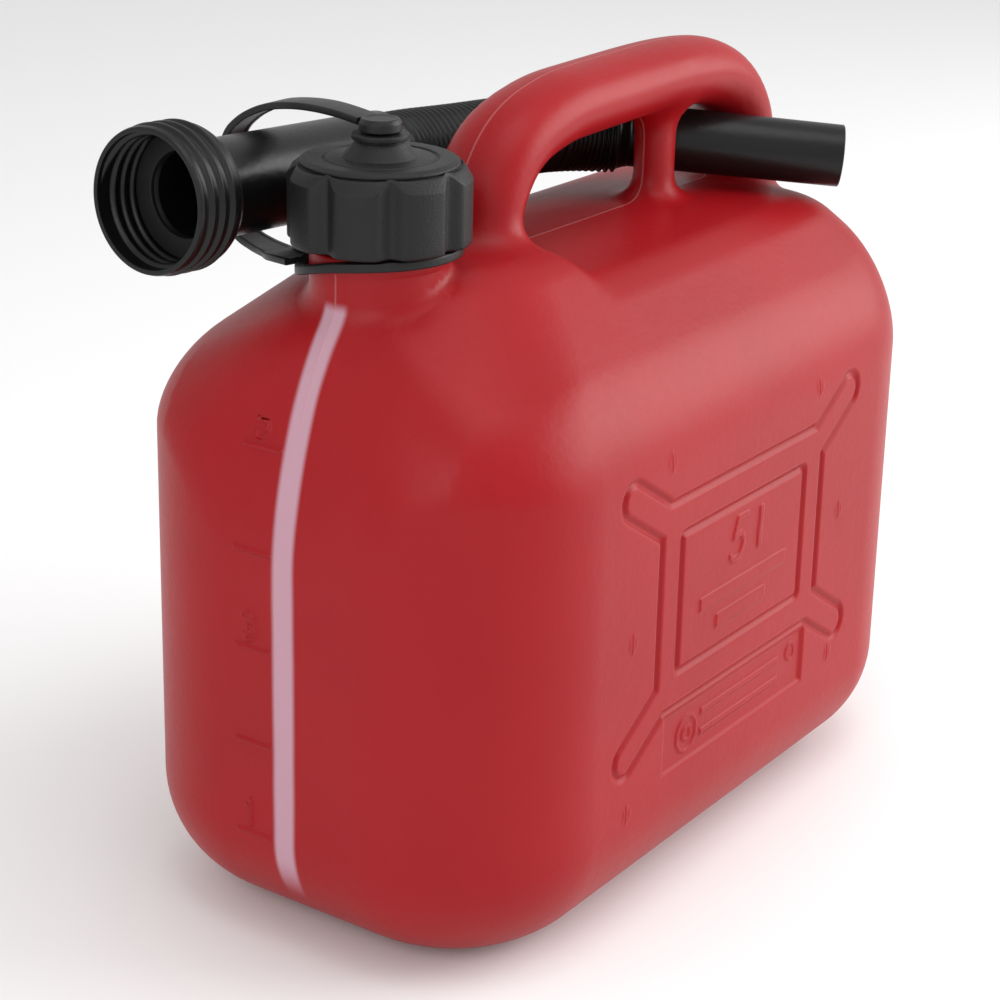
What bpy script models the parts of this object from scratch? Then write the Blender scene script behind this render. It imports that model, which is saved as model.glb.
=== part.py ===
"""Five-litre petrol can, blow-moulded, with a tethered screw cap and a flexible pouring
spout stored through its handle.

Metres, +Z up. Origin at the centre of the base; +X runs to the rear, the neck is at -X.
"""
import math

import bmesh
import bpy
import numpy as np
from mathutils import Vector

# ---------------------------------------------------------------- driving dimensions
MM = 0.001
GAP = 0.3 * MM                   # air left between pieces that touch

CAN_LENGTH = 259 * MM
CAN_WIDTH = 147 * MM
WALL = 2.2 * MM
BASE_EDGE_R = 36 * MM
BASE_FLAT_RISE = 0.8 * MM        # the rounding is flat below this height
FRONT_CORNER_R = 50 * MM
REAR_CORNER_R = 48 * MM
SIDE_WALL_TOP = 160 * MM         # where the upright side meets the sloping shoulder
SIDE_SLOPE = math.radians(40.4)
SIDE_BLEND_R = 15 * MM
FRONT_SLOPE = math.radians(49)
FRONT_SLOPE_X = -113.5 * MM      # one point of the front shoulder's slope
FRONT_SLOPE_Z = 186.5 * MM
FRONT_BLEND_R = 34 * MM
FRONT_BLEND_START_X = -50 * MM   # the shoulder's bend grows rounder from here to the front
REAR_SHOULDER_OUT = 10 * MM      # the rear shoulder starts this much higher up its slope
RIDGE_R = 43 * MM                # between the side shoulders and the front one
TOP_HEIGHT = 190.5 * MM          # the top, under the handle
TOP_FALL = 0.05                  # fall of the top towards the sides
TOP_EDGE_R = 5 * MM
NECK_PLATFORM = 196.5 * MM       # the higher shoulder round the neck and front leg
PLATFORM_END_X = -34 * MM
PLATFORM_BLEND = 8 * MM

HANDLE_HALF_WIDTH = 15 * MM
HANDLE_HALF_DEPTH = 11 * MM
HANDLE_TOP = 241 * MM
HANDLE_BLEND = 10 * MM
# middle line of the handle from the front foot to the rear foot: x, and drop below its top line
HANDLE_LINE = [(-44, 58), (-43, 37), (-38, 20), (-27, 8), (-8, 2), (15, 0.5), (64, 0),
               (90, 4), (105, 16), (109.5, 32), (110, 58)]
STRUT_X = 59 * MM
STRUT_HALF_LENGTH = 7 * MM
STRUT_HALF_WIDTH = 6.5 * MM
STRUT_BLEND = 9 * MM

NECK_X = -86.3 * MM
NECK_BASE_R = 19.6 * MM
NECK_BASE_TOP = 203 * MM
NECK_ROOT = 160 * MM             # the neck starts here, inside the shoulder
NECK_R = 17.4 * MM
NECK_BORE_R = 15.2 * MM
NECK_TOP = 222 * MM
NECK_BLEND = 3.5 * MM
THREAD_HEIGHT = 1.5 * MM
THREAD_WIDTH = 2.2 * MM
THREAD_LEAD = 5 * MM
THREAD_START = 207.5 * MM
THREAD_TURNS = 1.5
THREAD_CLEARANCE = 0.6 * MM

CAP_LOBES = 8
CAP_WALL = 4.2 * MM
CAP_LOBE_DEPTH = 2.2 * MM
FLUTE_HALF = math.radians(11.5)
CAP_ROOF = 4.4 * MM
CAP_FOOT = 205 * MM
CAP_DISC_R = 22.3 * MM
CAP_GROOVE_R = 15.9 * MM
CAP_CONE_R = 10.5 * MM
CAP_CONE_RISE = 6.6 * MM
CAP_FLANGE_R = 8 * MM
CAP_FLANGE_THICK = 1.6 * MM
STUD_R = 3 * MM
SEAL_THICK = 1.4 * MM

RING_CLEARANCE = 0.8 * MM
RING_WIDTH = 3.2 * MM
RING_THICK = 2.7 * MM
RING_Z = 200.5 * MM              # middle of the ring's thickness where it rests at the rear
RING_LIFT = 2.8 * MM             # the ring bows up towards the cap at the front
RING_LIFT_AT = math.radians(-100)
RING_PULL = 4.8 * MM             # and the strap pulls it down where it joins
RING_PULL_AT = math.radians(125)
RING_PULL_SPREAD = math.radians(44)
BUTTON_R = 6 * MM
BUTTON_THICK = 4 * MM
STRAP_WIDTH = 9.5 * MM
STRAP_THICK = 2.2 * MM
# middle line of the strap, from the button over and round the spout to the ring (mm)
STRAP_LINE = [(-86.0, 6.6, 238.2), (-84.1, 14, 238.6), (-81.8, 24, 238.5), (-80.6, 33, 237.8),
              (-79.0, 42, 236.1), (-78.2, 49, 233.6), (-77.6, 55, 230.2), (-77.0, 60, 225.4),
              (-76.6, 63.4, 216.8), (-76.8, 63.6, 207.6), (-77.2, 60.4, 199.4),
              (-78.4, 54.6, 195.6), (-80.8, 47, 194.4), (-85.4, 38, 194.9), (-91.0, 30.8, 196.2),
              (-93.6, 25.4, 197.2)]

PIPE_R = 14.2 * MM
PIPE_WALL = 2 * MM
PIPE_Y = 45.6 * MM               # the stored pipe's axis where the collar's mouth is
PIPE_MOUTH_X = -131 * MM
PIPE_MOUTH_Z = 216.8 * MM
PIPE_YAW = math.radians(-1.5)
PIPE_DROP = math.radians(2.6)
COLLAR_R = 21.2 * MM
COLLAR_WALL = 2.3 * MM
COLLAR_LENGTH = 18.5 * MM
COLLAR_SHOULDER = 5 * MM
PIPE_LENGTH = 101 * MM           # mouth of the collar to the end of the smooth pipe
SPOUT_SEAL_THICK = 1.5 * MM
HOSE_R = 13.2 * MM
HOSE_BORE_R = 10.6 * MM
HOSE_BEND_R = 38 * MM
NOZZLE_YAW = math.radians(-57.5)
NOZZLE_DROP = math.radians(4.2)
NOZZLE_CROSS_X = 80.3 * MM       # where the nozzle's axis crosses the handle's middle plane
NOZZLE_CROSS_Z = 205.0 * MM
NOZZLE_R = 10.5 * MM
NOZZLE_TIP_R = 10.2 * MM
NOZZLE_BORE_R = 8.8 * MM
NOZZLE_IN = 20 * MM              # length of the nozzle behind the handle's middle plane
NOZZLE_OUT = 50.5 * MM           # and in front of it

BODY_VOXEL = 5 * MM
BODY_FACES = 2200
ROUND = 40                       # sides of the round mouldings
HOSE_SIDES = 20

RED_PLASTIC = ((0.50, 0.012, 0.018, 1), 0.42)
BLACK_PLASTIC = ((0.018, 0.018, 0.020, 1), 0.38)
SEAL_RUBBER = ((0.03, 0.03, 0.03, 1), 0.6)


# ---------------------------------------------------------------- helpers
def clear_scene():
    for obj in list(bpy.data.objects):
        bpy.data.objects.remove(obj, do_unlink=True)


def plastic(name, finish):
    colour, roughness = finish
    mat = bpy.data.materials.new(name)
    mat.use_nodes = True
    shader = mat.node_tree.nodes["Principled BSDF"]
    shader.inputs["Base Color"].default_value = colour
    shader.inputs["Roughness"].default_value = roughness
    shader.inputs["Metallic"].default_value = 0.0
    return mat


def add_object(name, bm, finish, smooth_angle=35):
    mesh = bpy.data.meshes.new(name)
    bmesh.ops.recalc_face_normals(bm, faces=bm.faces)
    bm.to_mesh(mesh)
    bm.free()
    mesh.shade_smooth()
    mesh.set_sharp_from_angle(angle=math.radians(smooth_angle))
    if finish:
        mesh.materials.append(plastic(name, finish))
    obj = bpy.data.objects.new(name, mesh)
    bpy.context.collection.objects.link(obj)
    return obj


def guide(obj):
    """A cutter or a filler: used by a modifier and not part of the object."""
    obj.hide_render = True
    obj.display_type = "WIRE"
    return obj


def combine(target, tool, operation):
    mod = target.modifiers.new(tool.name, "BOOLEAN")
    mod.object = tool
    mod.operation = operation
    mod.solver = "EXACT"


def frame_to(direction):
    """Rotation that takes +Z to a direction."""
    return Vector(direction).to_track_quat("Z", "Y").to_matrix().to_4x4()


def heading(yaw, drop):
    return Vector((math.cos(yaw) * math.cos(drop), math.sin(yaw) * math.cos(drop),
                   -math.sin(drop)))


def lobe(angle):
    """0 in the cap's flutes and 1 on its broad lobes."""
    pitch = 2 * math.pi / CAP_LOBES
    away = abs((angle + pitch / 2) % pitch - pitch / 2)
    return 1 - math.cos(min(away / FLUTE_HALF, 1) * math.pi / 2) ** 2


def turned(rings, closed=False, sides=ROUND):
    """A round moulding from its section: (height, radius) or (height, radius, lobe depth)."""
    bm = bmesh.new()
    loop = bmesh.ops.create_circle(bm, segments=sides, radius=1.0)["verts"]
    angles = [math.atan2(v.co.y, v.co.x) for v in loop]
    edges = list(bm.edges)
    loops = []
    for i, ring in enumerate(rings):
        height, radius = ring[:2]
        depth = ring[2] if len(ring) > 2 else 0.0
        if i:
            new = bmesh.ops.extrude_edge_only(bm, edges=edges)["geom"]
            verts = [g for g in new if isinstance(g, bmesh.types.BMVert)]
            edges = [g for g in new if isinstance(g, bmesh.types.BMEdge)]
            edges = [e for e in edges if all(v in verts for v in e.verts)]
            angles = [math.atan2(v.co.y, v.co.x) for v in verts]
            loop = verts
        for vert, angle in zip(loop, angles):
            r = radius - depth * (1 - lobe(angle))
            vert.co = (r * math.cos(angle), r * math.sin(angle), height)
        loops.append(edges)
    if closed:
        bmesh.ops.bridge_loops(bm, edges=loops[0] + loops[-1])
    else:
        bmesh.ops.contextual_create(bm, geom=loops[0])
        bmesh.ops.contextual_create(bm, geom=loops[-1])
    return bm


def smooth_curve(points, step):
    """Points about one step apart on a smooth curve through the given ones."""
    points = np.array(points, float)
    ends = np.vstack([2 * points[0] - points[1], points, 2 * points[-1] - points[-2]])
    out = []
    for a, b, c, d in zip(ends, ends[1:], ends[2:], ends[3:]):
        count = max(1, round(float(np.linalg.norm(c - b)) / step))
        for t in np.arange(count) / count:
            out.append(0.5 * (2 * b + (c - a) * t + (2 * a - 5 * b + 4 * c - d) * t * t
                              + (3 * b - a - 3 * c + d) * t ** 3))
    out.append(points[-1])
    return np.array(out)


def directions(path):
    tangent = np.gradient(path, axis=0)
    return tangent / np.linalg.norm(tangent, axis=1, keepdims=True)


def carried(sections, closed=False):
    """A skin carried through a row of sections whose corners match one to one."""
    bm = bmesh.new()
    verts = [bm.verts.new(corner) for corner in sections[0]]
    face = bm.faces.new(verts)
    first = edges = list(face.edges)
    if closed:
        bmesh.ops.delete(bm, geom=[face], context="FACES_ONLY")
    for corners in sections[1:]:
        new = bmesh.ops.extrude_edge_only(bm, edges=edges)["geom"]
        moved = [g for g in new if isinstance(g, bmesh.types.BMVert)]
        edges = [g for g in new if isinstance(g, bmesh.types.BMEdge)
                 and all(v in moved for v in g.verts)]
        verts = [next(m for m in moved if (m.co - v.co).length < 1e-9) for v in verts]
        for vert, corner in zip(verts, corners):
            vert.co = corner
    if closed:
        bmesh.ops.bridge_loops(bm, edges=first + edges)
    else:
        bmesh.ops.contextual_create(bm, geom=edges)
    return bm


# ---------------------------------------------------------------- the can's shape
def fillet_max(a, b, r):
    """Corner of two shapes, rounded with radius r."""
    both = (a > -r) & (b > -r)
    return np.where(both, np.hypot(np.maximum(a + r, 0), np.maximum(b + r, 0)) - r,
                    np.maximum(a, b))


def blend_min(a, b, r):
    """Two shapes joined, with a fillet about as wide as r."""
    h = np.clip(0.5 + 0.5 * (b - a) / r, 0, 1)
    return b + (a - b) * h - r * h * (1 - h)


def handle_points():
    line = [(x * MM, HANDLE_TOP - HANDLE_HALF_DEPTH - drop * MM) for x, drop in HANDLE_LINE]
    return smooth_curve(line, 1.5 * MM)


HANDLE_PATH = handle_points()


def can_field(p):
    """Signed distance, roughly, to the can's outside: negative inside the plastic's outline."""
    x, y, z = p[:, 0], np.abs(p[:, 1]), p[:, 2]
    half = CAN_LENGTH / 2
    side = y - CAN_WIDTH / 2
    plan = np.where(x < 0, fillet_max(-x - half, side, FRONT_CORNER_R),
                    fillet_max(x - half, side, REAR_CORNER_R))
    walls = fillet_max(plan, -z, BASE_EDGE_R)
    shoulder_rear = fillet_max(x - half - REAR_SHOULDER_OUT, side, REAR_CORNER_R)
    round_side = np.where(x < 0, side, shoulder_rear)
    side_slope = (math.sin(SIDE_SLOPE) * round_side
                  + math.cos(SIDE_SLOPE) * (z - SIDE_WALL_TOP))
    front_slope = (-math.sin(FRONT_SLOPE) * (x - FRONT_SLOPE_X)
                   + math.cos(FRONT_SLOPE) * (z - FRONT_SLOPE_Z))
    slopes = fillet_max(side_slope, front_slope, RIDGE_R)
    forward = np.clip((FRONT_BLEND_START_X - x) / (half / 2), 0, 1)
    central = 1 - np.clip(y / FRONT_CORNER_R, 0, 1) ** 2
    shoulder_r = SIDE_BLEND_R + (FRONT_BLEND_R - SIDE_BLEND_R) * forward * central
    walls = fillet_max(walls, slopes, shoulder_r)
    top = z - TOP_HEIGHT + TOP_FALL * y
    platform = fillet_max(z - NECK_PLATFORM, x - PLATFORM_END_X, PLATFORM_BLEND)
    body = fillet_max(walls, blend_min(top, platform, PLATFORM_BLEND), TOP_EDGE_R)
    neck = np.maximum(np.hypot(x - NECK_X, y) - NECK_BASE_R, z - NECK_BASE_TOP)
    body = blend_min(body, np.maximum(neck, NECK_ROOT - z), NECK_BLEND)
    reach = np.full(len(p), 1.0)
    for hx, hz in HANDLE_PATH:
        reach = np.minimum(reach, np.hypot(x - hx, z - hz))
    handle = np.hypot(reach / HANDLE_HALF_DEPTH, y / HANDLE_HALF_WIDTH) - 1
    body = blend_min(body, handle * HANDLE_HALF_DEPTH, HANDLE_BLEND)
    strut = np.hypot((x - STRUT_X) / STRUT_HALF_LENGTH, y / STRUT_HALF_WIDTH) - 1
    strut = np.maximum(strut * STRUT_HALF_WIDTH, z - HANDLE_TOP + HANDLE_HALF_DEPTH)
    strut = np.maximum(strut, TOP_HEIGHT - 2 * HANDLE_HALF_DEPTH - z)
    return blend_min(body, strut, STRUT_BLEND)


def field_gradient(p, step=0.2 * MM):
    grad = np.empty_like(p)
    for axis in range(3):
        offset = np.zeros(3)
        offset[axis] = step
        grad[:, axis] = (can_field(p + offset) - can_field(p - offset)) / (2 * step)
    return grad


def settle(p, rounds=6):
    """Move points onto the can's outside."""
    for _ in range(rounds):
        grad = field_gradient(p)
        size = np.maximum((grad ** 2).sum(axis=1, keepdims=True), 0.2)
        p = p - np.clip(can_field(p)[:, None], -4 * MM, 4 * MM) * grad / size
    return p


def block(bm, low, high, edge_r=0.0):
    made = bmesh.ops.create_cube(bm, size=1.0)["verts"]
    low, high = Vector(low), Vector(high)
    bmesh.ops.scale(bm, vec=high - low, verts=made)
    bmesh.ops.translate(bm, vec=(low + high) / 2, verts=made)
    if edge_r:
        upright = [e for e in {e for v in made for e in v.link_edges}
                   if abs(e.verts[0].co.z - e.verts[1].co.z) > 1e-6]
        bmesh.ops.bevel(bm, geom=upright, offset=edge_r, affect="EDGES", segments=6,
                        profile=0.5, material=-1)


def rough_can():
    """Overlapping blocks of about the can's shape, for the remesher to join."""
    bm = bmesh.new()
    half = CAN_LENGTH / 2
    wide = CAN_WIDTH / 2
    block(bm, (-half, -wide, 0), (half, wide, SIDE_WALL_TOP), REAR_CORNER_R)
    steps = 4
    for i in range(1, steps + 1):
        top = SIDE_WALL_TOP + (TOP_HEIGHT - SIDE_WALL_TOP) * i / steps
        inset = (top - SIDE_WALL_TOP) / math.tan(SIDE_SLOPE)
        nose = (top - SIDE_WALL_TOP) / math.tan(FRONT_SLOPE)
        block(bm, (-half + nose, -wide + inset, BASE_EDGE_R), (half - nose, wide - inset, top),
              HANDLE_HALF_DEPTH)
    platform_half = wide - (NECK_PLATFORM - SIDE_WALL_TOP) / math.tan(SIDE_SLOPE)
    block(bm, (NECK_X, -platform_half, BASE_EDGE_R),
          (PLATFORM_END_X, platform_half, NECK_PLATFORM))
    neck = bmesh.ops.create_cone(bm, cap_ends=True, segments=ROUND, radius1=NECK_BASE_R,
                                 radius2=NECK_BASE_R, depth=2 * BASE_EDGE_R)["verts"]
    bmesh.ops.translate(bm, vec=(NECK_X, 0, NECK_BASE_TOP - BASE_EDGE_R), verts=neck)
    path = [Vector((x, 0, z)) for x, z in HANDLE_PATH[::4]]
    for a, b in zip(path, path[1:]):
        rod = bmesh.ops.create_cone(bm, cap_ends=True, segments=24, radius1=HANDLE_HALF_DEPTH,
                                    radius2=HANDLE_HALF_DEPTH, depth=(b - a).length * 1.6)
        bmesh.ops.scale(bm, vec=(1, HANDLE_HALF_WIDTH / HANDLE_HALF_DEPTH, 1),
                        verts=rod["verts"])
        tilt = (b - a).to_track_quat("Z", "Y").to_matrix()
        bmesh.ops.rotate(bm, cent=(0, 0, 0), matrix=tilt, verts=rod["verts"])
        bmesh.ops.translate(bm, vec=(a + b) / 2, verts=rod["verts"])
    strut = bmesh.ops.create_cone(bm, cap_ends=True, segments=24, radius1=STRUT_HALF_LENGTH,
                                  radius2=STRUT_HALF_LENGTH,
                                  depth=HANDLE_TOP - TOP_HEIGHT + HANDLE_HALF_DEPTH)["verts"]
    bmesh.ops.translate(bm, vec=(STRUT_X, 0, (HANDLE_TOP + TOP_HEIGHT) / 2 - HANDLE_HALF_DEPTH),
                        verts=strut)
    return bm


def evaluated(obj):
    """The object's mesh with its modifiers, as a new bmesh; the object is removed."""
    bm = bmesh.new()
    bm.from_object(obj, bpy.context.evaluated_depsgraph_get())
    bpy.data.objects.remove(obj, do_unlink=True)
    return bm


def settle_mesh(bm, smoothing=0):
    for _ in range(smoothing):
        bmesh.ops.smooth_vert(bm, verts=bm.verts, factor=0.5, use_axis_x=True,
                              use_axis_y=True, use_axis_z=True)
    points = settle(np.array([v.co for v in bm.verts]))
    for vert, co in zip(bm.verts, points):
        vert.co = co


def can_skin():
    """The can's closed outer skin: blocks joined by a remesh, settled and thinned."""
    rough = add_object("rough_can", rough_can(), None)
    remesh = rough.modifiers.new("join", "REMESH")
    remesh.mode = "VOXEL"
    remesh.voxel_size = BODY_VOXEL
    bm = evaluated(rough)
    for _ in range(3):
        settle_mesh(bm, smoothing=2)
    bmesh.ops.triangulate(bm, faces=bm.faces)
    count = len(bm.faces)
    fine = add_object("fine_skin", bm, None)
    thin = fine.modifiers.new("thin", "DECIMATE")
    thin.ratio = BODY_FACES / count
    thin.use_symmetry = False
    bm = evaluated(fine)
    settle_mesh(bm)
    for vert in bm.verts:
        if vert.co.z < BASE_FLAT_RISE:
            vert.co.z = 0
    return bm


def neck_thread():
    """One rib wound round the neck, from a four-cornered section."""
    bm = bmesh.new()
    root = NECK_R - THREAD_HEIGHT
    crest = NECK_R + THREAD_HEIGHT
    section = [(root, -THREAD_WIDTH), (crest, -THREAD_WIDTH / 4), (crest, THREAD_WIDTH / 4),
               (root, THREAD_WIDTH)]
    verts = [bm.verts.new((NECK_X + r, 0, THREAD_START + z)) for r, z in section]
    face = bm.faces.new(verts)
    steps = round(ROUND / 2 * THREAD_TURNS)
    end = bmesh.ops.spin(bm, geom=[face] + list(face.edges) + verts, cent=(NECK_X, 0, 0),
                         axis=(0, 0, 1), angle=2 * math.pi * THREAD_TURNS, steps=steps,
                         dvec=(0, 0, THREAD_LEAD * THREAD_TURNS / steps), use_duplicate=False)
    bm.faces.ensure_lookup_table()
    if not any(isinstance(g, bmesh.types.BMFace) for g in end["geom_last"]):
        last = [g for g in end["geom_last"] if isinstance(g, bmesh.types.BMEdge)]
        bmesh.ops.contextual_create(bm, geom=last)
    return bm


def make_can():
    """Hollow body: the outer skin, an inner one a wall's thickness in, and the open neck."""
    bm = can_skin()
    outer = list(bm.verts)
    points = np.array([v.co for v in outer])
    grad = field_gradient(points)
    inner_points = points - WALL * grad / np.linalg.norm(grad, axis=1, keepdims=True)
    outer_faces = list(bm.faces)
    copy = bmesh.ops.duplicate(bm, geom=outer + list(bm.edges) + outer_faces)
    vert_map = copy["vert_map"]
    for vert, co in zip(outer, inner_points):
        vert_map[vert].co = co
    inner_faces = [g for g in copy["geom"] if isinstance(g, bmesh.types.BMFace)]
    bmesh.ops.reverse_faces(bm, faces=inner_faces)
    mesh = bpy.data.meshes.new("can_body")
    bm.to_mesh(mesh)
    bm.free()
    mesh.shade_smooth()
    mesh.materials.append(plastic("can_body", RED_PLASTIC))
    can = bpy.data.objects.new("can_body", mesh)
    bpy.context.collection.objects.link(can)

    sleeve_foot = NECK_BASE_TOP - 4 * WALL
    in_base = NECK_BASE_R - WALL / 2
    sleeve = turned([(sleeve_foot, in_base), (NECK_BASE_TOP - WALL / 2, in_base),
                     (NECK_BASE_TOP - WALL / 2, NECK_R), (NECK_TOP, NECK_R)])
    sleeve = guide(add_object("neck_sleeve", sleeve, None))
    sleeve.location.x = NECK_X
    combine(can, sleeve, "UNION")
    combine(can, guide(add_object("neck_thread", neck_thread(), None)), "UNION")
    bore = turned([(sleeve_foot - 2 * WALL, NECK_BORE_R), (NECK_TOP + WALL, NECK_BORE_R)])
    bore = guide(add_object("neck_bore", bore, None))
    bore.location.x = NECK_X
    combine(can, bore, "DIFFERENCE")


# ---------------------------------------------------------------- cap and tether
CAP_BORE_R = NECK_R + THREAD_HEIGHT + THREAD_CLEARANCE
CAP_R = CAP_BORE_R + CAP_WALL + CAP_LOBE_DEPTH
SEAL_FOOT = NECK_TOP + GAP
ROOF = SEAL_FOOT + SEAL_THICK + GAP
CAP_TOP = ROOF + CAP_ROOF
FLANGE_FOOT = CAP_TOP + CAP_CONE_RISE - CAP_FLANGE_THICK
BUTTON_FOOT = FLANGE_FOOT + CAP_FLANGE_THICK + GAP


def make_cap():
    disc_edge = CAP_TOP - 2.4 * MM
    skirt_top = CAP_TOP - CAP_ROOF
    rings = [
        (ROOF, 0.5 * CAP_BORE_R), (ROOF, CAP_BORE_R), (CAP_FOOT, CAP_BORE_R),
        (CAP_FOOT, CAP_R - 0.8 * MM, CAP_LOBE_DEPTH),
        (CAP_FOOT + 0.8 * MM, CAP_R, CAP_LOBE_DEPTH),
        (skirt_top - 1.2 * MM, CAP_R, CAP_LOBE_DEPTH),
        (skirt_top, CAP_R - 1.2 * MM, CAP_LOBE_DEPTH * 0.7),
        (disc_edge - 1.2 * MM, CAP_DISC_R), (disc_edge, CAP_DISC_R + 0.4 * MM),
        (CAP_TOP - 0.8 * MM, CAP_DISC_R), (CAP_TOP, CAP_DISC_R - 1.4 * MM),
        (CAP_TOP, CAP_GROOVE_R + 0.7 * MM), (CAP_TOP - 0.6 * MM, CAP_GROOVE_R),
        (CAP_TOP, CAP_GROOVE_R - 0.7 * MM), (CAP_TOP, CAP_CONE_R),
        (FLANGE_FOOT, CAP_FLANGE_R - 1.5 * MM), (FLANGE_FOOT, CAP_FLANGE_R),
        (FLANGE_FOOT + CAP_FLANGE_THICK, CAP_FLANGE_R), (FLANGE_FOOT + CAP_FLANGE_THICK, STUD_R),
        (BUTTON_FOOT + BUTTON_THICK / 2, STUD_R)]
    cap = add_object("screw_cap", turned(rings), BLACK_PLASTIC)
    cap.location.x = NECK_X

    seal = turned([(SEAL_FOOT, NECK_BORE_R - 2 * MM), (SEAL_FOOT, CAP_BORE_R - GAP),
                   (SEAL_FOOT + SEAL_THICK, CAP_BORE_R - GAP),
                   (SEAL_FOOT + SEAL_THICK, NECK_BORE_R - 2 * MM)], closed=True)
    add_object("cap_seal", seal, SEAL_RUBBER).location.x = NECK_X


RING_BORE_R = NECK_BASE_R + RING_CLEARANCE


def ring_bow(angle):
    """How far the soft ring is bent up or down at an angle."""
    lift = RING_LIFT * ((1 + math.cos(angle - RING_LIFT_AT)) / 2) ** 0.75
    away = abs((angle - RING_PULL_AT + math.pi) % (2 * math.pi) - math.pi)
    return lift - RING_PULL * math.exp(-(away / RING_PULL_SPREAD) ** 2)


def make_tether():
    button = turned([(BUTTON_FOOT + BUTTON_THICK / 2 + GAP, 0.5 * STUD_R),
                     (BUTTON_FOOT + BUTTON_THICK / 2 + GAP, STUD_R + GAP),
                     (BUTTON_FOOT, STUD_R + GAP), (BUTTON_FOOT, BUTTON_R),
                     (BUTTON_FOOT + BUTTON_THICK - 0.6 * MM, BUTTON_R),
                     (BUTTON_FOOT + BUTTON_THICK, BUTTON_R - 0.6 * MM),
                     (BUTTON_FOOT + BUTTON_THICK, 0.4 * BUTTON_R)], sides=ROUND // 2)
    add_object("tether_button", button, BLACK_PLASTIC).location.x = NECK_X

    low, high = -RING_THICK / 2, RING_THICK / 2
    outer = RING_BORE_R + RING_WIDTH
    ring = turned([(low, RING_BORE_R), (low, outer), (high, outer), (high, RING_BORE_R)],
                  closed=True)
    for vert in ring.verts:
        vert.co.z += ring_bow(math.atan2(vert.co.y, vert.co.x))
    ring = add_object("tether_ring", ring, BLACK_PLASTIC)
    ring.location = (NECK_X, 0, RING_Z)
    make_strap()


def make_strap():
    """Flat strap: a rectangle carried along its line, its flat side facing the spout."""
    path = smooth_curve(np.array(STRAP_LINE) * MM, 5 * MM)
    along = directions(path)
    across = np.array([1.0, 0.0, 0.0]) - along * along[:, :1]
    across /= np.linalg.norm(across, axis=1, keepdims=True)
    out = np.cross(along, across)
    sections = [[point + wide * s * STRAP_WIDTH / 2 + thick * t * STRAP_THICK / 2
                 for s, t in ((-1, -1), (1, -1), (1, 1), (-1, 1))]
                for point, wide, thick in zip(path, across, out)]
    add_object("tether_strap", carried(sections), BLACK_PLASTIC)


# ---------------------------------------------------------------- flexible spout
PIPE_AXIS = heading(PIPE_YAW, PIPE_DROP)
PIPE_START = Vector((PIPE_MOUTH_X, PIPE_Y, PIPE_MOUTH_Z))
NOZZLE_AXIS = heading(NOZZLE_YAW, NOZZLE_DROP)
NOZZLE_CROSS = Vector((NOZZLE_CROSS_X, 0, NOZZLE_CROSS_Z))


def place_on(obj, start, direction):
    obj.matrix_world = frame_to(direction)
    obj.location = start


def make_spout_mouth():
    """Threaded collar and smooth pipe in one moulding, from the mouth inwards."""
    thread = 1.1 * MM
    bore = COLLAR_R - COLLAR_WALL
    floor = COLLAR_LENGTH - COLLAR_WALL
    rings = [(0.6 * MM, COLLAR_R), (0, COLLAR_R - 0.8 * MM), (0, bore + 0.6 * MM),
             (0.8 * MM, bore)]
    turns = 3
    pitch = (floor - 3 * MM) / turns
    for i in range(turns):
        start = 2 * MM + pitch * i
        rings += [(start, bore), (start + 0.3 * pitch, bore - thread),
                  (start + 0.5 * pitch, bore - thread), (start + 0.8 * pitch, bore)]
    rings += [(floor, bore), (floor, PIPE_R - PIPE_WALL), (PIPE_LENGTH, PIPE_R - PIPE_WALL),
              (PIPE_LENGTH, PIPE_R), (COLLAR_LENGTH + COLLAR_SHOULDER, PIPE_R),
              (COLLAR_LENGTH + 0.4 * COLLAR_SHOULDER, PIPE_R + 1.6 * MM),
              (COLLAR_LENGTH, COLLAR_R - 2.2 * MM), (COLLAR_LENGTH - 1 * MM, COLLAR_R)]
    mouth = add_object("spout_mouth", turned(rings, closed=True), BLACK_PLASTIC)
    place_on(mouth, PIPE_START, PIPE_AXIS)

    seal_r = bore - GAP
    seal = turned([(floor - GAP - SPOUT_SEAL_THICK, PIPE_R - PIPE_WALL),
                   (floor - GAP - SPOUT_SEAL_THICK, seal_r), (floor - GAP, seal_r),
                   (floor - GAP, PIPE_R - PIPE_WALL)], closed=True)
    place_on(add_object("spout_seal", seal, SEAL_RUBBER), PIPE_START, PIPE_AXIS)


def hose_path():
    """From the pipe's end, straight and then round one bend into the nozzle's axis."""
    start = PIPE_START + PIPE_AXIS * (PIPE_LENGTH + GAP)
    end = NOZZLE_CROSS - NOZZLE_AXIS * (NOZZLE_IN + GAP)
    turn = abs(NOZZLE_YAW - PIPE_YAW)
    reach = HOSE_BEND_R * math.tan(turn / 2)
    corner = end - NOZZLE_AXIS * reach
    points = [start, start + PIPE_AXIS * HOSE_R]
    entry = corner - (corner - start).normalized() * reach
    points += [start.lerp(entry, 0.5), entry]
    for t in (0.25, 0.5, 0.75):
        points.append(entry.lerp(corner, t).lerp(corner.lerp(end, t), t))
    points.append(end)
    return smooth_curve(points, 6 * MM)


def make_hose():
    """Bellows hose, as a plain bent tube of its outer size."""
    path = hose_path()
    along = directions(path)
    along[0], along[-1] = PIPE_AXIS, NOZZLE_AXIS
    angles = np.arange(HOSE_SIDES) * 2 * math.pi / HOSE_SIDES
    walls = []
    for radius in (HOSE_R, HOSE_BORE_R):
        walls.append([[Vector(point) + frame_to(axis).to_3x3()
                       @ Vector((radius * math.cos(a), radius * math.sin(a), 0)) for a in angles]
                      for point, axis in zip(path, along)])
    outside, inside = walls
    tube = carried([inside[0]] + outside + inside[:0:-1], closed=True)
    add_object("spout_hose", tube, BLACK_PLASTIC)


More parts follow.
